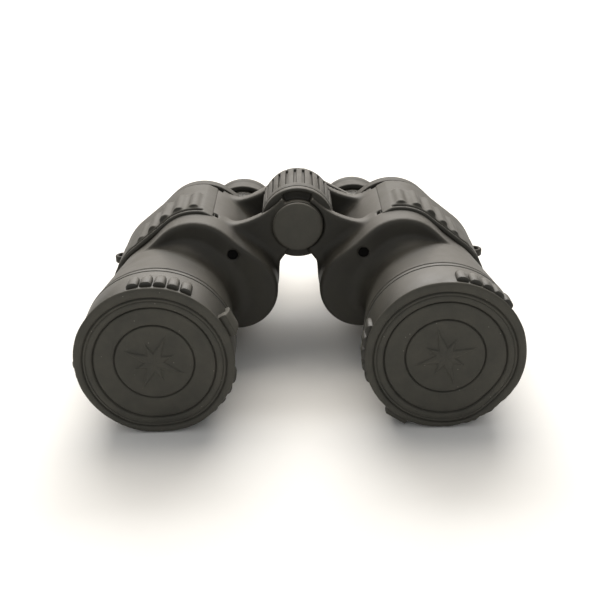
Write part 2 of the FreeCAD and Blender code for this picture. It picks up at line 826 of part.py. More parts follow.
def add_tab_strip(body, side, front, length, low, high):
    """One strip of the pull tab, between two radii, at the cap's tab angle."""
    turn = math.radians(TAB_TURN[side])
    outward = (math.cos(turn), math.sin(turn))
    along = (-math.sin(turn), math.cos(turn))
    half = Spec.tab_width / 2

    def at(radius, shift):
        return [radius * outward[axis] + shift * along[axis] for axis in (0, 1)]

    sketch = section_at(body, front)
    draw_outline(sketch, [at(low, -half), at(high, -half), at(high, half), at(low, half)])
    pad(body, sketch, length)


def lens_opening():
    return Spec.lens_radius - Spec.lens_land


def bulge_depth(curve, radius):
    """How far a lens face of that curve stands beyond its edge, as a size."""
    text = "(%s - sqrt(%s * %s - %s * %s))" % (curve.text, curve.text, curve.text,
                                             radius.text, radius.text)
    value = curve.value - math.sqrt(curve.value ** 2 - radius.value ** 2)
    return Size(value, text)


def crown_front():
    return Spec.cell_front + Spec.retainer_length


def make_objective_cell(side):
    body = new_body(side + "_objective_cell", half_base(side))
    seat = crown_front() + Spec.crown_edge + Spec.cement_gap + Spec.flint_edge
    revolve(body, [
        (Spec.lens_radius, Spec.cell_front), (Spec.nose_bore, Spec.cell_front),
        (Spec.nose_bore, Spec.cell_rear), (lens_opening(), Spec.cell_rear),
        (lens_opening(), seat), (Spec.lens_radius, seat),
    ])
    return body


def make_lens_retainer(side):
    body = new_body(side + "_lens_retainer", half_base(side))
    revolve(body, ring_profile(lens_opening(), Spec.lens_radius,
                               Spec.cell_front, crown_front()))
    return body


def turn_lens(body, front, rear, radius, curve):
    """Two outward-curved faces with flat lands, between the stations of the lens edge."""
    opening = radius - Spec.lens_land
    depth = bulge_depth(curve, opening)
    revolve(body, [(0.0, front - depth), (opening, front), (radius, front),
                   (radius, rear), (opening, rear), (0.0, rear + depth)],
            {0: (curve, -1), 4: (curve, -1)})


def make_crown_lens(side):
    body = new_body(side + "_crown_lens", half_base(side))
    front = crown_front()
    rear = front + Spec.crown_edge
    turn_lens(body, front, rear, Spec.lens_radius, Spec.lens_curve)
    return body


def make_flint_lens(side):
    body = new_body(side + "_flint_lens", half_base(side))
    depth = bulge_depth(Spec.lens_curve, lens_opening())
    front = crown_front() + Spec.crown_edge + Spec.cement_gap
    rear = front + Spec.flint_edge
    revolve(body, [(0.0, front + depth), (lens_opening(), front), (Spec.lens_radius, front),
                   (Spec.lens_radius, rear), (0.0, rear)], {0: (Spec.lens_curve, 1)})
    return body


def beam_axes(side):
    """X and Z of the three straight runs of the beam, in the half's own frame."""
    return [(as_size(0.0), as_size(0.0)),
            (across(side, Spec.corner_reach), Spec.corner_rise),
            (across(side, Spec.eye_reach), Spec.eye_rise)]


def prism_place(side, which):
    """Middle of the prism's long face and the tilt of that face about Y."""
    first, second = beam_axes(side)[:2] if which == "outer" else beam_axes(side)[1:]
    x = (first[0] + second[0]) / 2 + Spec.objective_reach * -INWARD[side]
    z = (first[1] + second[1]) / 2 + Spec.axis_height
    run = second[0] - first[0]
    rise = second[1] - first[1]
    value = math.degrees(math.atan(rise.value / run.value))
    return (x, -Spec.overall_length / 2, z), Size(value, "atan(%s / %s)" % (rise.text, run.text))


def plate_rear():
    return Spec.plate_front + Spec.plate_thickness


def make_prism(side, which):
    """A right-angle prism whose long face rests on the prism plate."""
    name = "rear" if which == "outer" else "front"
    base, tilt = prism_place(side, which)
    body = new_body("%s_%s_prism" % (side, name), base, tilt)
    sketch = new_sketch(body, "XY_Plane")
    half = Spec.prism_half_length
    if which == "outer":
        face, apex = plate_rear(), plate_rear() + half
    else:
        face, apex = Spec.plate_front, Spec.plate_front - half
    draw_outline(sketch, [(-half, face), (half, face), (0.0, apex)])
    pad(body, sketch, Spec.prism_width, midplane=True)
    return body


def make_prism_clip(side, which):
    """A spring strap over the prism's back edge, standing on the plate."""
    name = "rear" if which == "outer" else "front"
    base, tilt = prism_place(side, which)
    body = new_body("%s_%s_clip" % (side, name), base, tilt)
    inner = Spec.prism_width / 2
    outer = inner + Spec.clip_thickness
    if which == "outer":
        foot, roof = plate_rear(), plate_rear() + Spec.prism_half_length
        top = roof + Spec.clip_thickness
    else:
        foot, roof = Spec.plate_front, Spec.plate_front - Spec.prism_half_length
        top = roof - Spec.clip_thickness
    sketch = new_sketch(body, "YZ_Plane")
    draw_outline(sketch, [(foot, -outer), (top, -outer), (top, outer), (foot, outer),
                          (foot, inner), (roof, inner), (roof, -inner), (foot, -inner)])
    pad(body, sketch, Spec.clip_width, midplane=True)
    return body


def make_prism_plate(side):
    """The shelf between the prisms, with one light hole at each bend of the beam."""
    body = new_body(side + "_prism_plate", half_base(side))
    for which in ("outer", "inner"):
        sketch = section_at(body, Spec.plate_front)
        draw_lobes(sketch, *lobe_pair(side, which, -Spec.shell_wall))
        pad(body, sketch, Spec.plate_thickness)
    sketch = section_at(body, Spec.plate_front)
    for x, z in beam_axes(side):
        draw_circle(sketch, x, z, Spec.light_radius)
    pocket(body, sketch, Spec.plate_thickness)
    return body


def make_adjuster_screw(side):
    """Slotted screw sunk in the front face, which trims the prism."""
    x = Spec.adjuster_reach * -INWARD[side]
    base = (x, -Spec.overall_length / 2, Spec.axis_height + Spec.adjuster_rise)
    body = new_body(side + "_adjuster_screw", base)
    front = Spec.shell_front + Spec.adjuster_sink
    revolve(body, [(0.0, front), (Spec.adjuster_radius, front),
                   (Spec.adjuster_radius, front + Spec.adjuster_length),
                   (0.0, front + Spec.adjuster_length)])
    return body


# ---------------------------------------------------------------- eyepieces

def hub_front():
    return Spec.ocular_arm_front - Spec.free_gap


def hub_rear():
    return Spec.ocular_arm_front + Spec.ocular_arm_thickness * 2 + Spec.free_gap * 2


def arm_station(side):
    """The two ocular arms are stacked on the hub, the right one in front."""
    if side == "right":
        return Spec.ocular_arm_front
    return Spec.ocular_arm_front + Spec.ocular_arm_thickness + Spec.free_gap


def barrel_bore():
    return Spec.guide_radius + Spec.running_gap


def make_ocular_guide(side):
    """The fixed tube in the rear cover that the ocular barrel slides on."""
    body = new_body(side + "_ocular_guide", eye_base(side))
    revolve(body, [
        (Spec.guide_bore, Spec.guide_flange_front),
        (Spec.guide_flange_radius, Spec.guide_flange_front),
        (Spec.guide_flange_radius, Spec.shell_rear + Spec.cover_length),
        (Spec.guide_radius, Spec.shell_rear + Spec.cover_length),
        (Spec.guide_radius, Spec.guide_rear), (Spec.guide_bore, Spec.guide_rear),
    ])
    return body


def make_ocular_barrel(side):
    body = new_body(side + "_ocular_barrel", eye_base(side))
    revolve(body, [
        (barrel_bore(), Spec.barrel_front), (Spec.barrel_neck_radius, Spec.barrel_front),
        (Spec.barrel_neck_radius, Spec.barrel_step), (Spec.barrel_radius, Spec.barrel_step),
        (Spec.barrel_radius, Spec.barrel_rear), (Spec.ocular_lens_radius, Spec.barrel_rear),
        (Spec.ocular_lens_radius, Spec.field_lens_front), (barrel_bore(),
                                                           Spec.field_lens_front),
    ])
    return body


def ocular_lens(label, side, front, edge_end):
    """A biconvex ocular element between two stations of its edge."""
    body = new_body(label, eye_base(side))
    turn_lens(body, front, edge_end, Spec.ocular_lens_radius, Spec.ocular_lens_curve)
    return body


def field_lens_rear():
    return Spec.field_lens_front + Spec.ocular_lens_edge


def eye_lens_front():
    return field_lens_rear() + Spec.ocular_spacer_length


def make_field_lens(side):
    return ocular_lens(side + "_field_lens", side, Spec.field_lens_front, field_lens_rear())


def make_eye_lens(side):
    return ocular_lens(side + "_eye_lens", side, eye_lens_front(),
                       eye_lens_front() + Spec.ocular_lens_edge)


def make_ocular_spacer(side):
    body = new_body(side + "_ocular_spacer", eye_base(side))
    revolve(body, ring_profile(Spec.ocular_lens_radius - Spec.lens_land,
                               Spec.ocular_lens_radius, field_lens_rear(),
                               eye_lens_front()))
    return body


def make_eyecup(side):
    """Soft cup on the end of the barrel, open to the eye."""
    body = new_body(side + "_eyecup", eye_base(side))
    revolve(body, [
        (Spec.barrel_radius, Spec.eyecup_front), (Spec.eyecup_radius, Spec.eyecup_front),
        (Spec.eyecup_rear_radius, Spec.overall_length),
        (Spec.eyecup_bore, Spec.overall_length), (Spec.eyecup_bore, Spec.barrel_rear),
        (Spec.barrel_radius, Spec.barrel_rear),
    ])
    return body


def make_ocular_arm(side):
    """An arm of the ocular bridge: a web on the hub and a ring round the barrel."""
    body = new_body(side + "_ocular_arm", eye_base(side))
    hub_x = Spec.eye_reach * INWARD[side]
    hub_z = Spec.hinge_rise - Spec.eye_rise
    web = arm_station(side)
    sketch = section_at(body, web)
    draw_lobes(sketch, (hub_x, hub_z, Spec.ocular_arm_hub), (0.0, 0.0, Spec.arm_ring_radius))
    pad(body, sketch, Spec.ocular_arm_thickness)
    sketch = section_at(body, Spec.ocular_arm_front)
    draw_circle(sketch, 0.0, 0.0, Spec.arm_ring_radius)
    pad(body, sketch, hub_rear() - Spec.ocular_arm_front)
    fit = Spec.running_gap if side == "right" else as_size(0.0)
    sketch = section_at(body, Spec.ocular_arm_front)
    draw_circle(sketch, 0.0, 0.0, Spec.barrel_neck_radius + fit)
    pocket(body, sketch, hub_rear() - Spec.ocular_arm_front)
    turning = Spec.running_gap if side == "left" else as_size(0.0)
    sketch = section_at(body, web)
    draw_circle(sketch, hub_x, hub_z, Spec.hub_radius + turning)
    pocket(body, sketch, Spec.ocular_arm_thickness)
    return body


def make_diopter_ring():
    """The dial of the right eyepiece, turning on the rear end of the arm's ring."""
    body = new_body("right_diopter_ring", eye_base("right"))
    seat = arm_station("right") + Spec.ocular_arm_thickness + Spec.free_gap
    stop = hub_rear() + Spec.running_gap
    revolve(body, [
        (Spec.arm_ring_radius + Spec.running_gap, seat), (Spec.diopter_radius, seat),
        (Spec.diopter_radius, Spec.diopter_rear),
        (Spec.barrel_neck_radius + Spec.free_gap, Spec.diopter_rear),
        (Spec.barrel_neck_radius + Spec.free_gap, stop),
        (Spec.arm_ring_radius + Spec.running_gap, stop),
    ])
    return body


# ---------------------------------------------------------------- hinge and focusing

def make_hinge_axle():
    body = new_body("hinge_axle", middle_base())
    rear = Spec.rear_lug_at + Spec.rear_lug_length
    revolve(body, ring_profile(Spec.axle_bore, Spec.axle_radius, Spec.front_lug_at, rear))
    return body


def make_tripod_socket():
    body = new_body("tripod_socket", middle_base())
    thread_start = Spec.front_lug_at + Spec.socket_mouth_length
    rear = Spec.front_lug_at + Spec.socket_length
    revolve(body, [
        (Spec.socket_mouth_radius, Spec.front_lug_at), (Spec.axle_bore, Spec.front_lug_at),
        (Spec.axle_bore, rear), (Spec.socket_radius, rear),
        (Spec.socket_radius, thread_start), (Spec.socket_mouth_radius, thread_start),
    ])
    return body


def make_hinge_cap():
    """The plug of the tripod socket, which shows as the disc in front of the hinge."""
    body = new_body("hinge_cap", middle_base())
    spigot_end = Spec.front_lug_at + Spec.spigot_length
    revolve(body, [
        (0.0, Spec.hinge_cap_front), (Spec.hinge_cap_radius, Spec.hinge_cap_front),
        (Spec.hinge_cap_radius, Spec.front_lug_at), (Spec.spigot_radius, Spec.front_lug_at),
        (Spec.spigot_radius, spigot_end), (0.0, spigot_end),
    ])
    return body


def make_washer(label, front):
    body = new_body(label, middle_base())
    revolve(body, ring_profile(Spec.axle_radius, Spec.front_lug_radius - Spec.shell_wall,
                               front, front + Spec.washer_thickness))
    return body


def make_hinge_nut():
    """The ring nut that closes the hinge at the rear, round the focusing spindle."""
    body = new_body("hinge_nut", middle_base())
    front = Spec.rear_lug_at + Spec.rear_lug_length
    revolve(body, ring_profile(Spec.axle_bore, Spec.hinge_nut_radius, front,
                               front + Spec.hinge_nut_length))
    return body


def make_focus_wheel():
    body = new_body("focus_wheel", middle_base())
    revolve(body, ring_profile(Spec.axle_radius + Spec.running_gap, Spec.wheel_radius,
                               Spec.wheel_front, Spec.wheel_rear))
    floor = Spec.wheel_radius - Spec.wheel_groove_depth
    top = Spec.wheel_radius + Spec.wheel_groove_depth
    half = Spec.wheel_groove_width / 2
    sketch = section_at(body, Spec.wheel_front + Spec.wheel_rim)
    draw_outline(sketch, [(-half, floor), (half, floor), (half, top), (-half, top)])
    groove = pocket(body, sketch, Spec.wheel_rear - Spec.wheel_front - Spec.wheel_rim * 2)
    ring_pattern(body, groove, Spec.wheel_groove_count)
    return body


def make_focus_spindle():
    body = new_body("focus_spindle", middle_base())
    radius = Spec.axle_bore - Spec.running_gap
    rear = hub_rear() + Spec.hub_flange_length
    hole = rear - Spec.bridge_screw_length
    revolve(body, [
        (0.0, Spec.spindle_front), (radius, Spec.spindle_front), (radius, rear),
        (Spec.bridge_screw_radius, rear), (Spec.bridge_screw_radius, hole), (0.0, hole),
    ])
    return body


def make_bridge_hub():
    body = new_body("bridge_hub", middle_base())
    bore = Spec.axle_bore - Spec.running_gap
    rear = hub_rear() + Spec.hub_flange_length
    revolve(body, [
        (bore, hub_front()), (Spec.hub_radius, hub_front()),
        (Spec.hub_radius, hub_rear()), (Spec.hub_flange_radius, hub_rear()),
        (Spec.hub_flange_radius, rear), (bore, rear),
    ])
    return body


def make_bridge_screw():
    body = new_body("bridge_screw", middle_base())
    rear = hub_rear() + Spec.hub_flange_length
    revolve(body, [
        (0.0, rear - Spec.bridge_screw_length),
        (Spec.bridge_screw_radius, rear - Spec.bridge_screw_length),
        (Spec.bridge_screw_radius, rear), (Spec.bridge_screw_head, rear),
        (Spec.bridge_screw_head, rear + Spec.screw_head_length),
        (0.0, rear + Spec.screw_head_length),
    ])
    return body


# ---------------------------------------------------------------- the whole instrument

def make_half(side):
    pieces = [make_body(side), make_armour(side), make_rear_cover(side),
              make_cover_screws(side), make_objective_ring(side), make_lens_cap(side),
              make_objective_cell(side), make_lens_retainer(side), make_crown_lens(side),
              make_flint_lens(side), make_prism_plate(side), make_adjuster_screw(side)]
    for which in ("outer", "inner"):
        pieces += [make_prism(side, which), make_prism_clip(side, which)]
    pieces += [make_ocular_guide(side), make_ocular_barrel(side), make_field_lens(side),
               make_ocular_spacer(side), make_eye_lens(side), make_eyecup(side),
               make_ocular_arm(side)]
    return pieces


def make_middle():
    front_washer = Spec.front_lug_at + Spec.front_lug_length
    rear_washer = Spec.rear_lug_at - Spec.washer_thickness
    return [make_hinge_axle(), make_tripod_socket(), make_hinge_cap(),
            make_washer("front_washer", front_washer),
            make_washer("rear_washer", rear_washer), make_hinge_nut(), make_focus_wheel(),
            make_focus_spindle(), make_bridge_hub(), make_bridge_screw(),
            make_diopter_ring()]


def check_document(pieces):
    for item in doc.Objects:
        if "Invalid" in item.State or "Error" in item.State:
            raise RuntimeError("%s failed: %s" % (item.Label, item.State))
    for piece in pieces:
        if piece.Shape.isNull() or not piece.Shape.isValid():
            raise RuntimeError("%s has no valid shape" % piece.Label)


def write_steps(pieces):
    os.makedirs("parts", exist_ok=True)
    for piece in pieces:
        piece.Shape.exportStep("parts/%s.step" % piece.Label)


fill_sheet()
all_pieces = make_half("right") + make_half("left") + make_middle()
doc.recompute()
check_document(all_pieces)
write_steps(all_pieces)
print("%d pieces written" % len(all_pieces))
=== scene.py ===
import math

import bpy
import numpy as np
from mathutils import Matrix, Vector


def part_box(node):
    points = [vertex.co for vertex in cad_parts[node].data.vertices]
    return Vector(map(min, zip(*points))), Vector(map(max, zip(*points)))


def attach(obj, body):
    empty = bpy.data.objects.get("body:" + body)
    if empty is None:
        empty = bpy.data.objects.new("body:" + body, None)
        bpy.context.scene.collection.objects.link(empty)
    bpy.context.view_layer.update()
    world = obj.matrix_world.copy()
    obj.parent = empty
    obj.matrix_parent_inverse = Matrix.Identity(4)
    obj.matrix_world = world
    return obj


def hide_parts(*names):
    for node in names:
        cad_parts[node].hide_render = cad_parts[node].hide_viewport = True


# Porro-prism binoculars standing on the rims of their lens caps, hinge on top.
# Shapes are worked out in millimetres in each half's own terms: reach out from the middle
# plane, station back from the front of the caps, rise above the objective axes.

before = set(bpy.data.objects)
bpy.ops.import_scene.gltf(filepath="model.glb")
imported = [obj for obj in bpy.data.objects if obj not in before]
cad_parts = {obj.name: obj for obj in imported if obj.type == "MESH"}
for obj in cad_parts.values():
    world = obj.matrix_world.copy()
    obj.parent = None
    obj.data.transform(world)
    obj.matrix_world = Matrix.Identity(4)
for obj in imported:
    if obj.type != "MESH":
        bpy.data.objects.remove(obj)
bpy.context.view_layer.update()

MM = 0.001
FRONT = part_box("right_lens_cap")[0].y
AXIS_HEIGHT = sum(corner.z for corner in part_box("right_objective_cell")) / 2


def across(node, axis):
    """Middle of a node along one axis."""
    low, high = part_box(node)
    return (low[axis] + high[axis]) / 2


def station(node, end):
    """Front (0) or rear (1) of a node, in millimetres behind the caps."""
    return (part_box(node)[end].y - FRONT) / MM


OBJECTIVE_REACH = across("left_objective_cell", 0) / MM
EYE_REACH = across("left_field_lens", 0) / MM
EYE_RISE = (across("left_field_lens", 2) - AXIS_HEIGHT) / MM
HINGE_RISE = (across("hinge_axle", 2) - AXIS_HEIGHT) / MM
SIDES = {"right": -1.0, "left": 1.0}

# places on each half, as reach and rise
OBJECTIVE_CENTRE = (OBJECTIVE_REACH, 0.0)
EYE_CENTRE = (EYE_REACH, EYE_RISE)
HINGE_CENTRE = (0.0, HINGE_RISE)

# lobes of the prism housing: reach, rise, radius
OBJECTIVE_LOBE = (OBJECTIVE_REACH, 0.0, 27.2)
CORNER_LOBE = (48.0, 19.3, 20.3)
EYE_LOBE = (29.4, 6.2, 19.6)

# front and rear stations along each half
NOSE = (4.0, 26.0)
NECK = (24.5, 74.0)
SHELL = (60.0, 118.0)
LID = (118.0, 126.0)
FRONT_ARM = (75.0, 81.0)
REAR_ARM = (112.4, 119.0)

# sizes of the castings
NOSE_RADIUS, NOSE_BORE = 30.5, 27.2
NECK_RADIUS, NECK_TAPER = 33.0, 0.117       # at its front, and lost in each millimetre behind
LIGHT_WAY = 25.9                            # radius of the way from the neck to the prisms
HOUSING_WALL = 2.2
FACE_THICKNESS = 2.2
ADJUSTER_PLACE, ADJUSTER_HOLE = (30.3, 24.4), 2.5
BARREL_CLAMP = 16.6                         # outer radius of a bridge arm's ring


# ---------------------------------------------------------------- shapes as distance fields
# u, l and z are reach, station and rise; a field is negative inside the solid.

def soft_min(a, b, width):
    """Union of two solids with a fillet of about this width in the corner between them."""
    width = np.maximum(width, 1e-4)
    share = np.clip(0.5 + 0.5 * (b - a) / width, 0, 1)
    return b + (a - b) * share - width * share * (1 - share)


def soft_cut(solid, tool, width=0.5):
    """The solid less the tool, with the new edge slightly rounded."""
    return -soft_min(-solid, tool, width)


def hull(u, z, first, second):
    """Distance to the belt round two circles, each (reach, rise, radius)."""
    along = np.array([second[0] - first[0], second[1] - first[1]])
    span = np.hypot(*along)
    along = along / span
    du, dz = u - first[0], z - first[1]
    x = np.abs(du * along[1] - dz * along[0])
    y = du * along[0] + dz * along[1]
    slope = (first[2] - second[2]) / span
    lift = math.sqrt(1 - slope * slope)
    side = lift * y - slope * x
    return np.where(side < 0, np.hypot(x, y) - first[2],
                    np.where(side > lift * span, np.hypot(x, y - span) - second[2],
                             lift * x + slope * y - first[2]))


def slab(section, l, front, rear, rounding):
    """A section run from one station to another, with its end edges rounded."""
    a = section + rounding
    b = np.maximum(front - l, l - rear) + rounding
    return (np.minimum(np.maximum(a, b), 0) + np.hypot(np.maximum(a, 0), np.maximum(b, 0))
            - rounding)


def outline(u, z, corners):
    """Distance to a closed outline of straight runs, negative inside."""
    nearest = np.full(np.broadcast(u, z).shape, 1e9)
    inside = np.zeros(nearest.shape, bool)
    for (u0, z0), (u1, z1) in zip(corners, corners[1:] + corners[:1]):
        run = (u1 - u0, z1 - z0)
        share = np.clip(((u - u0) * run[0] + (z - z0) * run[1]) / (run[0] ** 2 + run[1] ** 2),
                        0, 1)
        nearest = np.minimum(nearest, np.hypot(u - u0 - share * run[0], z - z0 - share * run[1]))
        if run[1]:
            crosses = (z0 > z) != (z1 > z)
            inside ^= crosses & (u < u0 + (z - z0) * run[0] / run[1])
    return np.where(inside, -nearest, nearest)


def grow_skin(field, low, high, step):
    """The closed skin of a field: one point in each cell that the skin crosses, drawn onto it."""
    axes = [np.arange(a, b + s, s) for a, b, s in zip(low, high, step)]
    value = np.broadcast_to(field(axes[0][:, None, None], axes[1][None, :, None],
                                  axes[2][None, None, :]), [len(a) for a in axes])
    inside = value < 0
    corners = np.array([(i, j, k) for i in (0, 1) for j in (0, 1) for k in (0, 1)])
    shape = np.array(inside.shape) - 1
    count = sum(inside[i:i + shape[0], j:j + shape[1], k:k + shape[2]].astype(np.int8)
                for i, j, k in corners)
    cells = np.argwhere((count > 0) & (count < 8))
    number = np.full(shape, -1)
    number[tuple(cells.T)] = np.arange(len(cells))
    at = (cells[:, None, :] + corners[None]).reshape(-1, 3)
    held = value[tuple(at.T)].reshape(-1, 8)
    total, hits = np.zeros((len(cells), 3)), np.zeros(len(cells))
    for first in range(8):
        for second in range(first + 1, 8):
            if np.abs(corners[first] - corners[second]).sum() == 1:
                a, b = held[:, first], held[:, second]
                cross = (a < 0) != (b < 0)
                share = np.where(cross, a / np.where(cross, a - b, 1), 0)[:, None]
                point = corners[first] + share * (corners[second] - corners[first])
                total += np.where(cross[:, None], point, 0)
                hits += cross
    points = np.array(low) + (cells + total / hits[:, None]) * np.array(step)
    quads = []
    for a in range(3):
        b, c = (a + 1) % 3, (a + 2) % 3
        near = [slice(None)] * 3
        far = [slice(None)] * 3
        near[a], far[a] = slice(0, -1), slice(1, None)
        change = inside[tuple(near)] != inside[tuple(far)]
        where = np.argwhere(change)
        edge = np.array(inside.shape)
        keep = ((where[:, b] > 0) & (where[:, b] < edge[b] - 1)
                & (where[:, c] > 0) & (where[:, c] < edge[c] - 1))
        where = where[keep]
        outward = inside[tuple(where.T)]
        step_b, step_c = np.eye(3, dtype=int)[b], np.eye(3, dtype=int)[c]
        ring = np.stack([number[tuple((where - step_b - step_c).T)],
                         number[tuple((where - step_c).T)], number[tuple(where.T)],
                         number[tuple((where - step_b).T)]], axis=1)
        ring[~outward] = ring[~outward][:, ::-1]
        quads.append(ring)
    home = points.copy()
    reach = 0.75 * np.array(step)
    for _ in range(3):
        here = field(*points.T)
        slope = np.stack([field(*(points + shift).T) - field(*(points - shift).T)
                          for shift in np.eye(3) * 0.02], axis=1) / 0.04
        points -= (here / np.maximum((slope ** 2).sum(1), 0.05))[:, None] * slope
        points = np.clip(points, home - reach, home + reach)
    return points, np.concatenate(quads)


def placed(points, side):
    """Points given as reach, station and rise, put in their place on one side."""
    return np.stack([points[:, 0] * MM * SIDES[side], FRONT + points[:, 1] * MM,
                     AXIS_HEIGHT + points[:, 2] * MM], axis=1)


def make_mesh(name, points, faces, material):
    mesh = bpy.data.meshes.new(name)
    mesh.from_pydata([tuple(p) for p in points], [], [tuple(map(int, f)) for f in faces])
    mesh.materials.append(material)
    mesh.validate()
    mesh.shade_smooth()
    piece = bpy.data.objects.new(name, mesh)
    bpy.context.scene.collection.objects.link(piece)
    return piece


def field_piece(name, side, field, low, high, step, material):
    points, quads = grow_skin(field, low, high, step)
    if SIDES[side] < 0:
        quads = quads[:, ::-1]
    return make_mesh(name, placed(points, side), quads, material)


# ---------------------------------------------------------------- materials

def colour(code):
    """A linear colour from an sRGB hex code."""
    parts = [int(code[i:i + 2], 16) / 255 for i in (1, 3, 5)]
    return tuple(p / 12.92 if p <= 0.04045 else ((p + 0.055) / 1.055) ** 2.4
                 for p in parts) + (1.0,)


def add_node(tree, kind, settings=None, inputs=None):
    """One node with its settings; an input is a value, or the socket it is fed from."""
    node = tree.nodes.new(kind)
    for key, value in (settings or {}).items():
        setattr(node, key, value)
    for key, value in (inputs or {}).items():
        if isinstance(value, bpy.types.NodeSocket):
            tree.links.new(value, node.inputs[key])
        else:
            node.inputs[key].default_value = value
    return node


def blank(name):
    material = bpy.data.materials.new(name)
    material.use_nodes = True
    material.node_tree.nodes.clear()
    return material, material.node_tree


def moulded(name, dark, pale, roughness, gloss, grain, depth, cloud, speck=0.0):
    """A matt polymer or coating: cloudy tone, fine moulded grain and a few dust specks.
    grain, its depth and cloud are in millimetres. The real grain is about a fifth of a
    millimetre, so it is drawn two or three times as coarse to show at all."""
    material, tree = blank(name)
    place = add_node(tree, "ShaderNodeTexCoord").outputs["Object"]
    clouds = add_node(tree, "ShaderNodeTexNoise", inputs={
        "Vector": place, "Scale": 1 / (cloud * MM), "Detail": 5.0, "Roughness": 0.6})
    tone = add_node(tree, "ShaderNodeValToRGB", inputs={"Fac": clouds.outputs["Fac"]})
    tone.color_ramp.elements[0].position, tone.color_ramp.elements[1].position = 0.3, 0.72
    tone.color_ramp.elements[0].color = colour(dark)
    tone.color_ramp.elements[1].color = colour(pale)
    base = tone.outputs["Color"]
    if speck:
        dust = add_node(tree, "ShaderNodeTexVoronoi", inputs={
            "Vector": place, "Scale": 1 / (4.5 * MM)})
        spot = add_node(tree, "ShaderNodeMapRange", inputs={
            "Value": dust.outputs["Distance"], "From Min": speck, "From Max": speck * 0.4,
            "To Min": 0.0, "To Max": 0.35})
        base = add_node(tree, "ShaderNodeMix", {"data_type": "RGBA"}, {
            0: spot.outputs["Result"], 6: base, 7: colour("#a9a59a")}).outputs[2]
    rough = add_node(tree, "ShaderNodeMapRange", inputs={
        "Value": clouds.outputs["Fac"], "From Min": 0.3, "From Max": 0.7,
        "To Min": roughness - 0.05, "To Max": roughness + 0.06})
    fine = add_node(tree, "ShaderNodeTexNoise", inputs={
        "Vector": place, "Scale": 1 / (grain * MM), "Detail": 3.0, "Roughness": 0.55})
    bump = add_node(tree, "ShaderNodeBump", inputs={
        "Height": fine.outputs["Fac"], "Strength": 1.0, "Distance": depth * MM})
    shader = add_node(tree, "ShaderNodeBsdfPrincipled", inputs={
        "Base Color": base, "Roughness": rough.outputs["Result"],
        "Normal": bump.outputs["Normal"], "Specular IOR Level": gloss})
    add_node(tree, "ShaderNodeOutputMaterial", inputs={"Surface": shader.outputs["BSDF"]})
    return material


def machined(name, tint, worn, roughness, line):
    """Turned or drawn metal with fine tool lines; line is their spacing in millimetres."""
    material, tree = blank(name)
    place = add_node(tree, "ShaderNodeTexCoord").outputs["Object"]
    stretched = add_node(tree, "ShaderNodeMapping", inputs={
        "Vector": place, "Scale": (0.12, 1.0, 0.12)})
    lines = add_node(tree, "ShaderNodeTexNoise", inputs={
        "Vector": stretched.outputs["Vector"], "Scale": 1 / (line * MM), "Detail": 2.0})
    stain = add_node(tree, "ShaderNodeTexNoise", inputs={
        "Vector": place, "Scale": 1 / (6 * MM), "Detail": 4.0})
    tone = add_node(tree, "ShaderNodeMix", {"data_type": "RGBA"}, {
        0: stain.outputs["Fac"], 6: colour(tint), 7: colour(worn)})
    rough = add_node(tree, "ShaderNodeMapRange", inputs={
        "Value": lines.outputs["Fac"], "To Min": roughness - 0.08, "To Max": roughness + 0.1})
    bump = add_node(tree, "ShaderNodeBump", inputs={
        "Height": lines.outputs["Fac"], "Strength": 0.5, "Distance": 0.01 * MM})
    shader = add_node(tree, "ShaderNodeBsdfPrincipled", inputs={
        "Base Color": tone.outputs[2], "Metallic": 1.0,
        "Roughness": rough.outputs["Result"], "Normal": bump.outputs["Normal"]})
    add_node(tree, "ShaderNodeOutputMaterial", inputs={"Surface": shader.outputs["BSDF"]})
    return material


def glass(name, tint, ior, coat_tint):
    """Polished optical glass; the coating shows as a faint coloured sheen off the surface."""
    material, tree = blank(name)
    place = add_node(tree, "ShaderNodeTexCoord").outputs["Object"]
    haze = add_node(tree, "ShaderNodeTexNoise", inputs={
        "Vector": place, "Scale": 1 / (9 * MM), "Detail": 3.0})
    rough = add_node(tree, "ShaderNodeMapRange", inputs={
        "Value": haze.outputs["Fac"], "To Min": 0.0, "To Max": 0.04})
    shader = add_node(tree, "ShaderNodeBsdfPrincipled", inputs={
        "Base Color": colour(tint), "Roughness": rough.outputs["Result"], "IOR": ior,
        "Transmission Weight": 1.0, "Coat Weight": 0.6, "Coat Roughness": 0.02,
        "Coat Tint": colour(coat_tint)})
    add_node(tree, "ShaderNodeOutputMaterial", inputs={"Surface": shader.outputs["BSDF"]})
    return material


# Die-cast housing under a wrinkle-free matt enamel: a warm near-black that goes pale where
# light rakes over it.
matt_enamel = moulded("matt_enamel_on_cast_aluminium", "#2c2a25", "#36342d", 0.54, 0.32,
                      0.45, 0.02, 14.0)
# Moulded styrene rubber skin: softer and dustier than the enamel, with a faint mould grain.
rubber_armour = moulded("styrene_rubber_armour", "#2d2c27", "#38362f", 0.6, 0.38,
                        0.6, 0.035, 9.0, 0.05)
# The same enamel on the pressed rear lids, painted a little darker and made duller: painted shade
# that keeps their lit raised rim dim.
lid_enamel_painted_shade = moulded("matt_enamel_on_pressed_lid_painted_shade", "#282722", "#32302a", 0.58, 0.26,
                     0.45, 0.02, 12.0)
# Nitrile rubber grip rings, rubbed smooth by handling.
grip_rubber = moulded("nitrile_grip_rubber", "#2c2b26", "#37352e", 0.52, 0.42,
                      0.5, 0.02, 8.0)
# Soft vinyl caps: flat grey with a talc bloom, clouded by handling, specked with lint.
cap_vinyl = moulded("soft_vinyl_cap", "#383731", "#45433c", 0.66, 0.3,
                    0.7, 0.03, 10.0, 0.06)
# Glass-filled nylon of the wheel, dial and barrels: fine even grain.
nylon = moulded("glass_filled_nylon", "#2a2924", "#34322c", 0.58, 0.3,
                0.35, 0.02, 7.0)
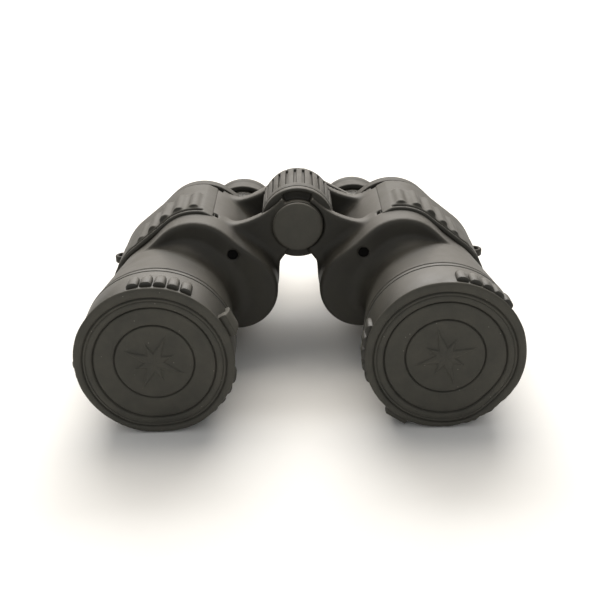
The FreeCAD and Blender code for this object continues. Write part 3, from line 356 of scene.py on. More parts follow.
# Barrel tube, the same nylon from a smoother mould.
barrel_nylon = moulded("smooth_nylon_barrel", "#282722", "#33312b", 0.44, 0.45,
                       0.3, 0.01, 7.0)
# Rolled-back eyecups in soft rubber, matt black-brown.
eyecup_rubber = moulded("soft_eyecup_rubber", "#2a2924", "#35332d", 0.62, 0.36,
                        0.5, 0.03, 6.0, 0.04)
# Pressed cap over the hinge end, satin polypropylene.
plug_plastic = moulded("satin_polypropylene_plug", "#44423b", "#4e4c44", 0.52, 0.35,
                       0.4, 0.012, 8.0)
# Painted bridge casting behind the wheel.
bridge_enamel = moulded("matt_enamel_on_bridge", "#2a2924", "#35332d", 0.48, 0.42,
                        0.4, 0.015, 9.0)
# Anodised aluminium cells and guides: dark satin metal with turning lines.
anodised = machined("black_anodised_aluminium", "#1b1a18", "#26241f", 0.42, 0.25)
# Spring steel clips, axle and spindle: drawn, lightly oiled.
spring_steel = machined("drawn_spring_steel", "#8d8a83", "#a29f97", 0.32, 0.3)
# Blackened screws, a little bright where the driver has been.
screw_steel = machined("blackened_screw_steel", "#2b2a27", "#4d4a43", 0.4, 0.2)
# Turned brass washers and tripod bush.
turned_brass = machined("turned_brass", "#a98a4d", "#8a6f3c", 0.3, 0.2)
# Coated crown glass: clear, with the violet-green bloom of a magnesium fluoride coating.
coated_glass = glass("coated_crown_glass", "#f2f6f4", 1.52, "#b9a8dd")
# Barium crown prisms, clear and uncoated on their faces.
prism_glass = glass("barium_crown_prism", "#eef3f1", 1.57, "#ffffff")
# Sealing pitch in the adjuster holes, nearly black and dull.
sealed_screw = moulded("pitch_sealed_screw", "#080807", "#0d0c0b", 0.8, 0.1, 0.3, 0.02, 3.0)

CARRIED_FINISHES = {
    "housing": matt_enamel, "armour": rubber_armour, "cover": lid_enamel_painted_shade,
    "grip_rubber": grip_rubber, "cap_rubber": cap_vinyl, "black_aluminium": anodised,
    "coated_glass": coated_glass, "prism_glass": prism_glass, "spring_steel": spring_steel,
    "screw_steel": screw_steel, "barrel_plastic": barrel_nylon,
    "eyecup_rubber": eyecup_rubber, "bridge_metal": bridge_enamel, "brass": turned_brass,
    "hinge_cap": plug_plastic, "wheel_plastic": nylon,
}
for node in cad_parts.values():
    for slot in node.material_slots:
        slot.material = CARRIED_FINISHES[slot.material.name]
for side in SIDES:
    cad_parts[side + "_adjuster_screw"].material_slots[0].material = sealed_screw


def fit(piece, body, slot, *nodes):
    """Gives a finished piece its body and hides the nodes that it stands for. The slot is not
    used.
    """
    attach(piece, body)
    if nodes:
        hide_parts(*nodes)


BODY_OF_SIDE = {"right": "right_half", "left": "left_half"}


# ---------------------------------------------------------------- the cast halves

def lobes(u, z):
    """Outline of the prism housing: three lobes joined by straight belts."""
    return soft_min(hull(u, z, OBJECTIVE_LOBE, CORNER_LOBE), hull(u, z, CORNER_LOBE, EYE_LOBE),
                    3.0)


def hollow(u, z):
    """Inside of the prism housing, one wall in from its outline."""
    return np.minimum(hull(u, z, OBJECTIVE_LOBE, CORNER_LOBE),
                      hull(u, z, CORNER_LOBE, EYE_LOBE)) + HOUSING_WALL


def web_corners():
    """The arm from the corner lobe up to the hinge: its top edge is a hollow curve."""
    root, tip, sweep = (36.0, HINGE_RISE + 0.3), (7.1, HINGE_RISE + 12.9), 39.4
    chord = (tip[0] - root[0], tip[1] - root[1])
    length = math.hypot(*chord)
    rise = math.sqrt(sweep ** 2 - length ** 2 / 4)
    centre = ((root[0] + tip[0]) / 2 - chord[1] / length * -rise,
              (root[1] + tip[1]) / 2 - chord[0] / length * rise)
    start = math.atan2(root[1] - centre[1], root[0] - centre[0])
    end = math.atan2(tip[1] - centre[1], tip[0] - centre[0])
    edge = [(centre[0] + sweep * math.cos(start + (end - start) * i / 12),
             centre[1] + sweep * math.sin(start + (end - start) * i / 12)) for i in range(13)]
    return edge + [(2.4, HINGE_RISE + 7.8), (2.4, HINGE_RISE - 7.8), (5.0, HINGE_RISE - 13.2),
                   (8.8, HINGE_RISE - 18.2), (11.8, 5.0), (19.6, 5.0),
                   (36.0, HINGE_RISE - 10.4)]


WEB = web_corners()
NOTCH = [(40.6, 38.6), (37.2, 39.5), (38.4, 33.6)]      # gap where the armour meets an arm
NOTCHES = ((75.0, 79.0), (114.6, 118.0))
# Rounds of the hinge: radius, front, rear and the rounding of the edges. The right half's
# stand outside the left half's, and each half leaves room for the other's.
OUTER_KNUCKLES = ((12.2, 74.3, 78.0, 0.5), (13.4, 115.7, 119.6, 0.6))
INNER_KNUCKLES = ((17.2, 78.45, 82.55, 0.6), (16.6, 112.85, 115.25, 0.5))
ROOM_FOR_INNER = ((17.6, 78.0, 83.2), (17.0, 111.1, 115.7))
ROOM_FOR_OUTER = ((12.5, -200.0, 78.45), (13.8, 115.25, 200.0))
STOP_RECESS = (13.4, 2.2, 81.2)             # radius, half width and floor of the stop's pocket


def casting(side):
    """Objective neck, prism housing, both arms and this side's knuckles of the hinge."""
    def field(u, l, z):
        edge = lobes(u, z)
        shell = slab(edge, l, SHELL[0], SHELL[1] + 4.0, 1.9)
        around = np.hypot(u - OBJECTIVE_REACH, z)
        neck = slab(around - (NECK_RADIUS - (l - NECK[0]) * NECK_TAPER), l, *NECK, 0.4)
        # the fillet behind the neck is widest over the flat face and dies out at its edge
        depth = np.clip((-edge - 1.0) / 11.0, 0, 1)
        solid = soft_min(shell, neck, 10.0 * depth * depth * (3 - 2 * depth) + 0.4)
        solid = np.minimum(solid, slab(around - NOSE_RADIUS, l, *NOSE, 0.4))
        web = outline(u, z, WEB)
        arms = np.minimum(slab(web, l, *FRONT_ARM, 1.3), slab(web, l, *REAR_ARM, 1.3))
        solid = soft_min(solid, arms, 4.0)
        solid = soft_cut(solid, SHELL[1] - l, 0.2)
        solid = soft_cut(solid, np.maximum(hollow(u, z), SHELL[0] + FACE_THICKNESS - l), 0.6)
        behind_face = l - (SHELL[0] + 6.0)
        solid = soft_cut(solid, np.maximum(around - LIGHT_WAY, behind_face), 0.4)
        solid = soft_cut(solid, np.maximum(around - NOSE_BORE, l - 23.2), 0.4)
        hole = np.hypot(u - ADJUSTER_PLACE[0], z - ADJUSTER_PLACE[1]) - ADJUSTER_HOLE
        solid = soft_cut(solid, np.maximum(hole, behind_face), 0.35)
        for front, rear in NOTCHES:
            pit = np.maximum(outline(u, z, NOTCH), np.maximum(front - l, l - rear))
            solid = soft_cut(solid, pit, 0.2)
        pin = np.hypot(u, z - HINGE_RISE)
        own = OUTER_KNUCKLES if side == "right" else INNER_KNUCKLES
        room = ROOM_FOR_INNER if side == "right" else ROOM_FOR_OUTER
        for radius, front, rear in room:
            solid = soft_cut(solid, np.maximum(pin - radius, np.maximum(front - l, l - rear)),
                             0.3)
        for radius, front, rear, rounding in own:
            solid = soft_min(solid, slab(pin - radius, l, front, rear, rounding), 0.3)
        if side == "left":
            radius, half_width, floor = STOP_RECESS
            recess = np.maximum(np.abs(pin - radius) - half_width, l - floor)
            # only in the wedge above the pin, 28 degrees to each side
            recess = np.maximum(recess, (np.abs(u) - 0.53 * (z - HINGE_RISE)) * 0.88)
            solid = soft_cut(solid, recess, 0.4)
        return soft_cut(solid, pin - 6.0, 0.2)
    return field


PAST_THE_PIN = {"right": -15.0, "left": -19.0}
for side in SIDES:
    piece = field_piece(side + "_cast_half", side, casting(side),
                        (PAST_THE_PIN[side], 2.6, -34.6), (95.0, 121.0, 51.6),
                        (0.85, 1.0, 0.85), matt_enamel)
    fit(piece, BODY_OF_SIDE[side], "housing", side + "_body")


# ---------------------------------------------------------------- rubber armour

ARMOUR, ARMOUR_EDGE = (73.2, 116.0), 38.5       # its stations, and its inner edge's reach
CHANNEL_STATION, CHANNEL_HALF_WIDTH, CHANNEL_END = 76.1, 1.3, 44.5
RIBS = ((49.0, 40.0), (56.0, 38.6), (62.6, 34.9), (68.4, 29.6), (74.0, 24.4),
        (79.2, 18.9), (83.7, 12.6))             # reach and rise of the finger ribs
RIB_RADIUS, RIB_SPAN = 3.1, (79.0, 99.0)        # the ribs run out slowly at the rear


def armour(u, l, z):
    """Rubber skin round the outer side, with a channel behind its lip and finger ribs."""
    edge = hull(u, z, OBJECTIVE_LOBE, CORNER_LOBE)
    thick = 0.5 + 1.6 * np.clip((u - ARMOUR_EDGE) / 6.0, 0, 1)
    skin = slab(edge - thick, l, *ARMOUR, 0.7)
    off = l - CHANNEL_STATION
    channel = np.maximum(np.abs(edge - 2.8) - 1.9, np.abs(off) - CHANNEL_HALF_WIDTH)
    channel = np.maximum(channel, CHANNEL_END - u + 0.25 * off ** 2)
    skin = soft_cut(skin, channel, 0.3)
    for reach, rise in RIBS:
        finger = np.hypot(u - reach, z - rise) - RIB_RADIUS
        rib = np.maximum(finger, np.maximum(RIB_SPAN[0] - l, (l - RIB_SPAN[1]) * 0.35))
        skin = soft_min(skin, rib, 0.9)
    skin = soft_cut(skin, edge - 0.04, 0.1)
    skin = soft_cut(skin, u - ARMOUR_EDGE, 0.3)
    return np.maximum(skin, l - ARMOUR[1])


for side in SIDES:
    piece = field_piece(side + "_armour_skin", side, armour, (36.5, 71.0, -32.0),
                        (93.5, 118.0, 45.5), (0.7, 0.8, 0.7), rubber_armour)
    fit(piece, BODY_OF_SIDE[side], "armour", side + "_armour")


# ---------------------------------------------------------------- rear lids

LID_OVERHANG, LID_FLOOR = 0.7, 2.5
EAR_HOLE, EAR_HOLE_RADIUS = (92.7, 122.0), 2.2      # the strap's hole: reach, station
EAR_RADIUS, EAR_HALF_THICKNESS = 3.9, 2.0
SCREW_REACH, INNER_SCREW_REACH = 22.9, 16.7         # from the objective and the eyepiece axis


def screw_places():
    """Where the three screws of a lid stand, as reach and rise."""
    tilt = math.atan2(CORNER_LOBE[1], OBJECTIVE_REACH - CORNER_LOBE[0])
    low = (-SCREW_REACH * math.sin(tilt), -SCREW_REACH * math.cos(tilt))
    corner = INNER_SCREW_REACH * math.sqrt(0.5)
    return [(OBJECTIVE_REACH + low[0], low[1]), (OBJECTIVE_REACH - low[0], -low[1]),
            (EYE_REACH - corner, EYE_RISE - corner)]


def rear_lid(u, l, z):
    """Pressed lid with a rolled rim, screw pockets, the eyepiece hole and a strap ear."""
    edge = lobes(u, z)
    rim = edge - LID_OVERHANG
    lid = slab(rim, l, *LID, 2.2)
    lid = np.where(l < LID[0] + 3.0, np.maximum(rim, LID[0] - l), lid)
    reach, back = EAR_HOLE
    ear = slab(hull(u, l, (OBJECTIVE_REACH + 26.1, back, EAR_RADIUS), (reach, back, EAR_RADIUS)),
               z, -EAR_HALF_THICKNESS, EAR_HALF_THICKNESS, 0.8)
    lid = soft_min(lid, ear, 1.2)
    lid = soft_cut(lid, np.hypot(u - reach, l - back) - EAR_HOLE_RADIUS, 0.5)
    lid = soft_cut(lid, np.maximum(hollow(u, z), l - LID[1] + LID_FLOOR), 0.5)
    lid = soft_cut(lid, np.hypot(u - EYE_REACH, z - EYE_RISE) - 14.65, 0.4)
    for reach, rise in screw_places():
        lid = soft_cut(lid, np.maximum(np.hypot(u - reach, z - rise) - 2.3, 124.5 - l), 0.4)
    return lid


# The lids take the darker copy of the enamel, which is painted shade on their rim.
for side in SIDES:
    piece = field_piece(side + "_rear_lid", side, rear_lid, (7.5, 116.4, -29.4),
                        (98.4, 127.6, 42.0), (0.7, 0.7, 0.7), lid_enamel_painted_shade)
    fit(piece, BODY_OF_SIDE[side], "cover", side + "_rear_cover")


# ---------------------------------------------------------------- turned and moulded rounds

def turned(name, side, centre, profile, material, count=160, warp=None):
    """A closed ring or disc turned from (radius, station) corners about an axis along Y.
    warp, if given, moves points: it takes angle, radius, station and gives the last two."""
    profile = np.array(profile, float)
    turn = np.linspace(0, 2 * np.pi, count, endpoint=False)
    angle = np.repeat(turn[:, None], len(profile), 1)
    radius = np.repeat(profile[None, :, 0], count, 0)
    back = np.repeat(profile[None, :, 1], count, 0)
    if warp:
        radius, back = warp(angle, radius, back)
    points = np.stack([centre[0] * SIDES[side] * MM + radius * np.cos(angle) * MM,
                       FRONT + back * MM,
                       AXIS_HEIGHT + centre[1] * MM + radius * np.sin(angle) * MM], axis=-1)
    closed = profile[0][0] > 0
    faces, length = [], len(profile)
    index = np.arange(count * length).reshape(count, length)
    following = np.roll(index, -1, axis=0)
    runs = length if closed else length - 1
    for k in range(runs):
        m = (k + 1) % length
        faces.append(np.stack([index[:, k], following[:, k], following[:, m], index[:, m]], 1))
    piece = make_mesh(name, points.reshape(-1, 3), np.concatenate(faces), material)
    weld = piece.modifiers.new("Weld", "WELD")
    weld.merge_threshold = 1e-6
    return settled(piece)


def settled(piece):
    """The piece as a plain mesh, with its modifiers used up."""
    graph = bpy.context.evaluated_depsgraph_get()
    mesh = bpy.data.meshes.new_from_object(piece.evaluated_get(graph))
    piece.modifiers.clear()
    piece.data = mesh
    mesh.name = piece.name
    return piece


def rounded(corners, radius, steps=4):
    """Corners of a turned profile, each outer corner swept by a small arc."""
    corners = [np.array(c, float) for c in corners]
    result = []
    for i, here in enumerate(corners):
        before, after = corners[i - 1], corners[(i + 1) % len(corners)]
        a, b = before - here, after - here
        la, lb = np.linalg.norm(a), np.linalg.norm(b)
        take = min(radius, la * 0.45, lb * 0.45)
        start, end = here + a / la * take, here + b / lb * take
        for s in np.linspace(0, 1, steps + 1):
            result.append((1 - s) ** 2 * start + 2 * s * (1 - s) * here + s * s * end)
    return result


# ---------------------------------------------------------------- raised pads set round a ring

PAD_LENGTHS = ("radius", "front", "straight run", "width", "height", "front end", "rear end")
PAD_ANGLES = ("first angle", "pitch angle", "group angle")
PAD_COUNTS = ("pads in a group", "groups")
# What the pad tree works out: a name, the operation, and the names or numbers it works on.
# x, y and z are a point's place on a ball of radius one, whose poles are the pad's two ends.
PAD_SUMS = (
    ("x side", "SIGN", "x"),
    ("x size", "ABSOLUTE", "x"),
    ("x fullness", "POWER", "x size", "squareness"),
    ("x squared", "MULTIPLY", "x side", "x fullness"),
    ("half width", "MULTIPLY", "width", 0.5),
    ("across", "MULTIPLY", "x squared", "half width"),
    ("y side", "SIGN", "y"),
    ("y size", "ABSOLUTE", "y"),
    ("y fullness", "POWER", "y size", "squareness"),
    ("y squared", "MULTIPLY", "y side", "y fullness"),
    ("outward", "MULTIPLY_ADD", "y squared", "height", "radius"),
    ("front z", "MINIMUM", "z", 0.0),
    ("rear z", "MAXIMUM", "z", 0.0),
    ("is rear", "GREATER_THAN", "z", 0.001),
    ("nose", "MULTIPLY_ADD", "front z", "front end", "front"),
    ("run", "MULTIPLY_ADD", "is rear", "straight run", "nose"),
    ("back", "MULTIPLY_ADD", "rear z", "rear end", "run"),
    ("total", "MULTIPLY", "pads in a group", "groups"),
    ("middle of pad", "ADD", "number", 0.5),
    ("groups passed", "DIVIDE", "middle of pad", "pads in a group"),
    ("group", "FLOOR", "groups passed"),
    ("place in group", "MODULO", "number", "pads in a group"),
    ("group turn", "MULTIPLY_ADD", "group", "group angle", "first angle"),
    ("angle", "MULTIPLY_ADD", "place in group", "pitch angle", "group turn"),
    ("lean", "SUBTRACT", math.pi / 2, "angle"),
)


def pad_tree():
    """Geometry nodes that stand rounded pads round an axis along Y, on top of the piece."""
    tree = bpy.data.node_groups.new("pads_round_a_ring", "GeometryNodeTree")
    face = tree.interface
    face.new_socket("piece", in_out="INPUT", socket_type="NodeSocketGeometry")
    face.new_socket("centre", in_out="INPUT", socket_type="NodeSocketVector")
    face.new_socket("finish", in_out="INPUT", socket_type="NodeSocketMaterial")
    for name in PAD_LENGTHS + PAD_ANGLES + ("squareness",):
        face.new_socket(name, in_out="INPUT", socket_type="NodeSocketFloat")
    for name in PAD_COUNTS:
        face.new_socket(name, in_out="INPUT", socket_type="NodeSocketInt")
    face.new_socket("padded piece", in_out="OUTPUT", socket_type="NodeSocketGeometry")
    asked = add_node(tree, "NodeGroupInput").outputs

    spot = add_node(tree, "GeometryNodeInputPosition").outputs[0]
    x, y, z = add_node(tree, "ShaderNodeSeparateXYZ", inputs={0: spot}).outputs
    number = add_node(tree, "GeometryNodeInputIndex").outputs[0]
    known = {"x": x, "y": y, "z": z, "number": number, "squareness": asked["squareness"]}
    for name in PAD_LENGTHS + PAD_ANGLES + PAD_COUNTS:
        known[name] = asked[name]
    for name, operation, *given in PAD_SUMS:
        known[name] = add_node(tree, "ShaderNodeMath", {"operation": operation}, {
            index: known.get(item, item) for index, item in enumerate(given)}).outputs[0]

    # one pad: a ball whose front half is cut short, run out straight, and squared if asked
    ball = add_node(tree, "GeometryNodeMeshUVSphere", inputs={
        "Segments": 16, "Rings": 10, "Radius": 1.0})
    place = add_node(tree, "ShaderNodeCombineXYZ", inputs={
        0: known["across"], 1: known["back"], 2: known["outward"]})
    pad = add_node(tree, "GeometryNodeSetPosition", inputs={
        "Geometry": ball.outputs["Mesh"], "Position": place.outputs[0]})
    closed = add_node(tree, "GeometryNodeFlipFaces", inputs={"Mesh": pad.outputs[0]})
    smooth = add_node(tree, "GeometryNodeSetShadeSmooth", inputs={
        "Geometry": closed.outputs[0]})

    # one point for each pad, turned to its own angle
    points = add_node(tree, "GeometryNodePoints", inputs={
        "Count": known["total"], "Position": asked["centre"]})
    turn = add_node(tree, "ShaderNodeCombineXYZ", inputs={1: known["lean"]})
    copies = add_node(tree, "GeometryNodeInstanceOnPoints", inputs={
        "Points": points.outputs[0], "Instance": smooth.outputs[0],
        "Rotation": turn.outputs[0]})
    both = add_node(tree, "GeometryNodeJoinGeometry", inputs={0: copies.outputs[0]})
    tree.links.new(asked["piece"], both.inputs[0])
    whole = add_node(tree, "GeometryNodeRealizeInstances", inputs={
        "Geometry": both.outputs[0]})
    finish = add_node(tree, "GeometryNodeSetMaterial", inputs={
        "Geometry": whole.outputs[0], "Material": asked["finish"]})
    add_node(tree, "NodeGroupOutput", inputs={0: finish.outputs[0]})
    return tree


PADS = pad_tree()


def add_pads(piece, centre, side, **wanted):
    """Stands pads round the piece; lengths are in millimetres and angles in degrees."""
    modifier = piece.modifiers.new("Pads", "NODES")
    modifier.node_group = PADS
    values = {"centre": (centre[0] * SIDES[side] * MM, FRONT, AXIS_HEIGHT + centre[1] * MM),
              "finish": piece.data.materials[0]}
    for key, value in wanted.items():
        name = key.replace("_", " ")
        if name in PAD_LENGTHS:
            value = value * MM
        elif name in PAD_ANGLES:
            value = math.radians(value)
        values[name] = value
    for item in PADS.interface.items_tree:
        if item.in_out == "INPUT" and item.name in values:
            modifier[item.identifier] = values[item.name]
    piece.data.update()
    return settled(piece)


def add_ridges(piece, centre, side, count, first_angle=0.0, **sizes):
    """Even ridges all the way round the piece."""
    return add_pads(piece, centre, side, first_angle=first_angle, pitch_angle=360.0 / count,
                    group_angle=0.0, pads_in_a_group=count, groups=1, **sizes)


# ---------------------------------------------------------------- objective grip rings

RING_TURN = {"right": 83.0, "left": 60.0}       # degrees to the middle of the top group
BUMP_SPACING = 9.6                              # degrees
RING_PROFILE = rounded([(27.3, 1.95), (33.2, 1.95), (33.2, 20.3)], 0.3, 2) + rounded(
    [(32.85, 20.5), (32.85, 20.8), (33.25, 21.0), (33.25, 23.1)], 0.25, 2) + [
    (32.9, 23.5), (30.55, 23.5), (30.55, 3.9), (27.3, 3.9)]

for side in SIDES:
    ring = turned(side + "_grip_ring", side, OBJECTIVE_CENTRE, RING_PROFILE, grip_rubber, 220)
    ring = add_pads(ring, OBJECTIVE_CENTRE, side, radius=32.6, front=4.3, straight_run=4.4,
                    width=5.3, height=2.6, front_end=0.7, rear_end=6.0, squareness=0.75,
                    first_angle=RING_TURN[side] - 2 * BUMP_SPACING, pitch_angle=BUMP_SPACING,
                    group_angle=120.0, pads_in_a_group=5, groups=3)
    fit(ring, BODY_OF_SIDE[side], "grip_rubber", side + "_objective_ring")


# ---------------------------------------------------------------- lens caps

ROSE_POINTS = ((14.4, 3.3, 0.0), (9.6, 3.0, math.pi / 4))      # four long, then four short
ROSE_HEIGHT = 0.75
ROSE_TURN = {"right": 0.42, "left": -0.3}                      # radians


def star(x, z):
    """Height, from 0 to 1, of an eight-pointed compass rose moulded on the disc."""
    height = np.zeros(np.broadcast(x, z).shape)
    for tip, waist, turned_by in ROSE_POINTS:
        angle = np.arctan2(z, x) + turned_by
        fold = np.abs((angle + math.pi / 4) % (math.pi / 2) - math.pi / 4)
        radius = np.hypot(x, z)
        along, off = radius * np.cos(fold), radius * np.sin(fold)
        root = waist * math.cos(math.pi / 4)
        inside = ((tip - along) * root - off * (tip - root)) / math.hypot(root, tip - root)
        height = np.maximum(height, np.clip(inside / 0.55, 0, 1)
                            * (0.62 + 0.38 * np.clip(1 - off / 1.8, 0, 1)))
    return height


# The cap outside its centre disc, as (radius, station) from the front round to the back.
CAP_RINGS = [
    # groove round the disc
    (16.3, 0.88), (16.45, 1.0), (16.5, 2.05), (17.1, 2.1), (17.2, 1.05), (17.5, 0.88),
    # broad flat ring, slightly dished
    (18.8, 0.82), (21.0, 0.8), (24.4, 0.8), (25.3, 0.84),
    # deep groove, with a rounded bead outside it
    (25.42, 0.95), (25.48, 1.9), (26.05, 1.9), (26.15, 0.7), (26.4, 0.42), (27.2, 0.28),
    (28.4, 0.3), (28.6, 0.42),
    # hairline, then the outer groove
    (28.7, 0.7), (28.95, 0.7), (29.05, 0.42), (29.8, 0.4), (29.92, 1.35), (30.4, 1.35),
    # thin rim, turned over to the back
    (30.55, 0.5), (31.0, 0.2), (31.6, 0.06), (32.5, 0.0), (33.2, 0.1), (33.7, 0.35),
    (33.95, 0.75), (33.9, 1.2), (33.5, 1.6), (33.0, 1.75),
    # lip that plugs into the neck, and the back of the disc
    (27.3, 1.8), (27.14, 2.0), (27.14, 7.3), (26.9, 7.6), (26.4, 7.4), (26.34, 2.8),
    (24.0, 2.6), (12.0, 2.6), (0.0, 2.6)]
# where a cap's rim has gone slack, in degrees, and how nicked it is there
SAG = {"right": (-95.0, 0.0), "left": (-52.0, 1.0)}


def cap_warp(side):
    """Soft vinyl never lies true: the rim wanders, and is slack and nicked at one place."""
    middle, nicked = SAG[side]

    def warp(angle, radius, back):
        away = (angle - math.radians(middle) + np.pi) % (2 * np.pi) - np.pi
        slack = np.exp(-(away / 0.5) ** 2) * np.clip((radius - 21.0) / 6.0, 0, 1)
        outer = np.clip((radius - 31.2) / 2.5, 0, 1)
        wave = (0.10 * np.sin(3 * angle + 0.7) + 0.08 * np.sin(5 * angle + 2.0)
                + 0.05 * np.sin(11 * angle))
        nicks = nicked * np.exp(-((away + 0.15) / 0.42) ** 2) * (
            np.abs(np.sin(11.0 * away)) ** 3 * 0.55 + 0.3 * np.sin(27 * away) ** 2)
        pull = (0.5 + 0.6 * nicked) * slack * np.sin(2.6 * away + 0.6)
        low = np.clip((radius - 20.0) / 4.0, 0, 1) * np.clip((32.5 - radius) / 2.0, 0, 1)
        radius = radius - outer * (np.abs(wave) + nicks) - pull * (radius < 31.0)
        radius = radius - 0.9 * low * np.sin(angle) * (back < 2.4)
        back = back + slack * (0.35 + 0.25 * np.sin(6 * away)) * (back < 2.0)
        return radius, back
    return warp


def make_cap(side):
    """A cap as one sheet of rings, with the rose standing out of its centre disc."""
    inner = np.linspace(0.0, 15.9, 46)
    profile = np.array([(r, 0.86) for r in inner] + CAP_RINGS)
    warp = cap_warp(side)

    def relief(angle, radius, back):
        turned_to = angle + ROSE_TURN[side]
        front = (back < 2.0) & (radius < 16.0)
        back = back - ROSE_HEIGHT * front * star(radius * np.cos(turned_to),
                                                 radius * np.sin(turned_to))
        return warp(angle, radius, back)

    return turned(side + "_soft_cap", side, OBJECTIVE_CENTRE, profile, cap_vinyl, 320, relief)


def pull_tab(turn, end, wide):
    """A tongue standing off the cap's rim at one angle, narrowing back over the ring."""
    c, s = math.cos(turn), math.sin(turn)

    def field(u, l, z):
        out = (u - OBJECTIVE_REACH) * c + z * s
        beside = np.abs(-(u - OBJECTIVE_REACH) * s + z * c) - wide / 2
        rise = 35.5 + 0.9 * np.sin((l - 3.0) * 0.3)
        tongue = np.maximum(np.abs(out - rise) - 0.8, beside + 0.12 * (l - 3.0))
        tongue = np.maximum(tongue, np.maximum(2.6 - l, l - end)) - 0.25
        root = np.maximum(np.abs(out - 34.2) - 1.4,
                          np.maximum(beside, np.abs(l - 4.4) - 1.6)) - 0.3
        return soft_min(tongue, root, 1.0)
    return field


TAB_TURN = {"right": 26.0, "left": -124.0}
for side in SIDES:
    cap = make_cap(side)
    turn = math.radians(TAB_TURN[side])
    if SIDES[side] < 0:
        turn = math.pi - turn
    at = (OBJECTIVE_REACH + 35.0 * math.cos(turn), 35.0 * math.sin(turn))
    tab = field_piece(side + "_cap_tab", side, pull_tab(turn, 13.0, 9.0),
                      (at[0] - 7, 0.5, at[1] - 7), (at[0] + 7, 15.5, at[1] + 7),
                      (0.4, 0.5, 0.4), cap_vinyl)
    cap_body = side + "_cap"
    fit(cap, cap_body, "cap_rubber", side + "_lens_cap")
    fit(tab, cap_body, "cap_rubber")


# ---------------------------------------------------------------- hinge end and focus wheel

plug = turned("hinge_end_plug", "left", HINGE_CENTRE,
              [(0.0, 72.52), (5.0, 72.5), (10.2, 72.5), (10.9, 72.55), (11.35, 72.7),
               (11.62, 72.95), (11.7, 73.3), (11.7, 73.8), (11.62, 73.95), (11.45, 74.0),
               (11.2, 74.0), (4.0, 74.0), (3.8, 74.0), (3.7, 74.1), (3.7, 74.3), (3.7, 75.1),
               (3.65, 75.3), (3.5, 75.4), (3.2, 75.4), (0.0, 75.4)], plug_plastic, 140)
fit(plug, "hinge_plug", "hinge_cap", "hinge_cap")

wheel_front, wheel_rear = station("focus_wheel", 0), station("focus_wheel", 1)
WHEEL_RADIUS, WHEEL_WAIST = 17.15, 15.9
wheel = turned("ridged_focus_wheel", "left", HINGE_CENTRE, rounded(
    [(6.06, wheel_front), (WHEEL_RADIUS, wheel_front), (WHEEL_RADIUS, wheel_front + 5.2),
     (16.2, wheel_front + 5.8), (WHEEL_WAIST, wheel_rear - 3.0),
     (WHEEL_WAIST, wheel_rear - 2.0), (WHEEL_RADIUS, wheel_rear - 1.6),
     (WHEEL_RADIUS, wheel_rear), (6.06, wheel_rear)], 0.3, 2), nylon, 180)
wheel = add_ridges(wheel, HINGE_CENTRE, "left", 26, 3.0, radius=16.0,
                   front=wheel_front + 5.2, straight_run=wheel_rear - wheel_front - 6.8,
                   width=2.8, height=1.18, front_end=0.6, rear_end=0.6, squareness=0.22)
fit(wheel, "focus_wheel", "wheel_plastic", "focus_wheel")


# ---------------------------------------------------------------- ocular bridge and eyepieces

def bridge_arm(side):
    """A flat web from the focusing hub to a clamp ring round the barrel."""
    ring_front, ring_rear = station(side + "_ocular_arm", 0), station(side + "_ocular_arm", 1)
    web_front = ring_front + {"right": 0.0, "left": 4.4}[side]
    bore = {"right": 6.0, "left": 6.06}[side]

    def field(u, l, z):
        web = hull(u, z, (0.0, HINGE_RISE, 9.0), (EYE_REACH, EYE_RISE, BARREL_CLAMP))
        arm = slab(web, l, web_front, web_front + 4.0, 1.0)
        barrel = np.hypot(u - EYE_REACH, z - EYE_RISE)
        arm = soft_min(arm, slab(barrel - BARREL_CLAMP, l, ring_front, ring_rear, 0.6), 1.0)
        arm = soft_cut(arm, barrel - 14.5, 0.3)
        return soft_cut(arm, np.hypot(u, z - HINGE_RISE) - bore, 0.3)
    return field


for side in SIDES:
    moving = side + "_ocular"
    piece = field_piece(side + "_bridge_arm", side, bridge_arm(side),
                        (-10.4, station(side + "_ocular_arm", 0) - 1.4, -10.4),
                        (48.6, station(side + "_ocular_arm", 1) + 1.4, 43.6),
                        (0.7, 0.6, 0.7), bridge_enamel)
    fit(piece, moving, "bridge_metal", side + "_ocular_arm")


# ---------------------------------------------------------------- barrels, eyecups and dial

EYEPIECE_BODY = {"right": "right_optics", "left": "left_ocular"}
for side in SIDES:
    barrel = turned(side + "_ribbed_barrel", side, EYE_CENTRE, rounded(
        [(12.1, 132.4), (14.4, 132.4), (14.4, 142.7), (15.6, 142.7), (15.6, 145.0),
         (15.0, 145.6), (15.0, 156.8), (15.6, 157.4), (15.6, 162.0), (13.0, 162.0),
         (13.0, 144.2), (12.1, 144.2)], 0.3, 2), barrel_nylon, 150)
    barrel = add_ridges(barrel, EYE_CENTRE, side, 40, radius=15.0, front=145.9,
                        straight_run=10.6, width=1.5, height=0.6, front_end=0.4, rear_end=0.4,
                        squareness=0.4)
    fit(barrel, EYEPIECE_BODY[side], "barrel_plastic", side + "_ocular_barrel")
    cup = turned(side + "_rolled_eyecup", side, EYE_CENTRE, rounded(
        [(15.6, 159.5), (18.5, 159.5), (18.5, 161.6), (17.9, 163.0), (17.75, 170.4),
         (18.2, 172.2), (18.15, 175.9), (14.9, 176.0), (14.6, 172.0), (14.6, 162.0),
         (15.6, 162.0)], 0.9, 4), eyecup_rubber, 170)
    fit(cup, EYEPIECE_BODY[side], "eyecup_rubber", side + "_eyecup")

dial = turned("diopter_dial", "right", EYE_CENTRE, rounded(
    [(16.66, 135.0), (17.7, 135.0), (17.7, 140.0), (17.2, 140.6), (14.8, 140.6),
     (14.8, 139.5), (16.66, 139.5)], 0.3, 2), nylon, 160)
dial = add_ridges(dial, EYE_CENTRE, "right", 64, radius=17.5, front=135.5, straight_run=3.6,
                  width=1.0, height=0.75, front_end=0.3, rear_end=0.3, squareness=0.35)
fit(dial, "diopter_ring", "wheel_plastic", "right_diopter_ring")


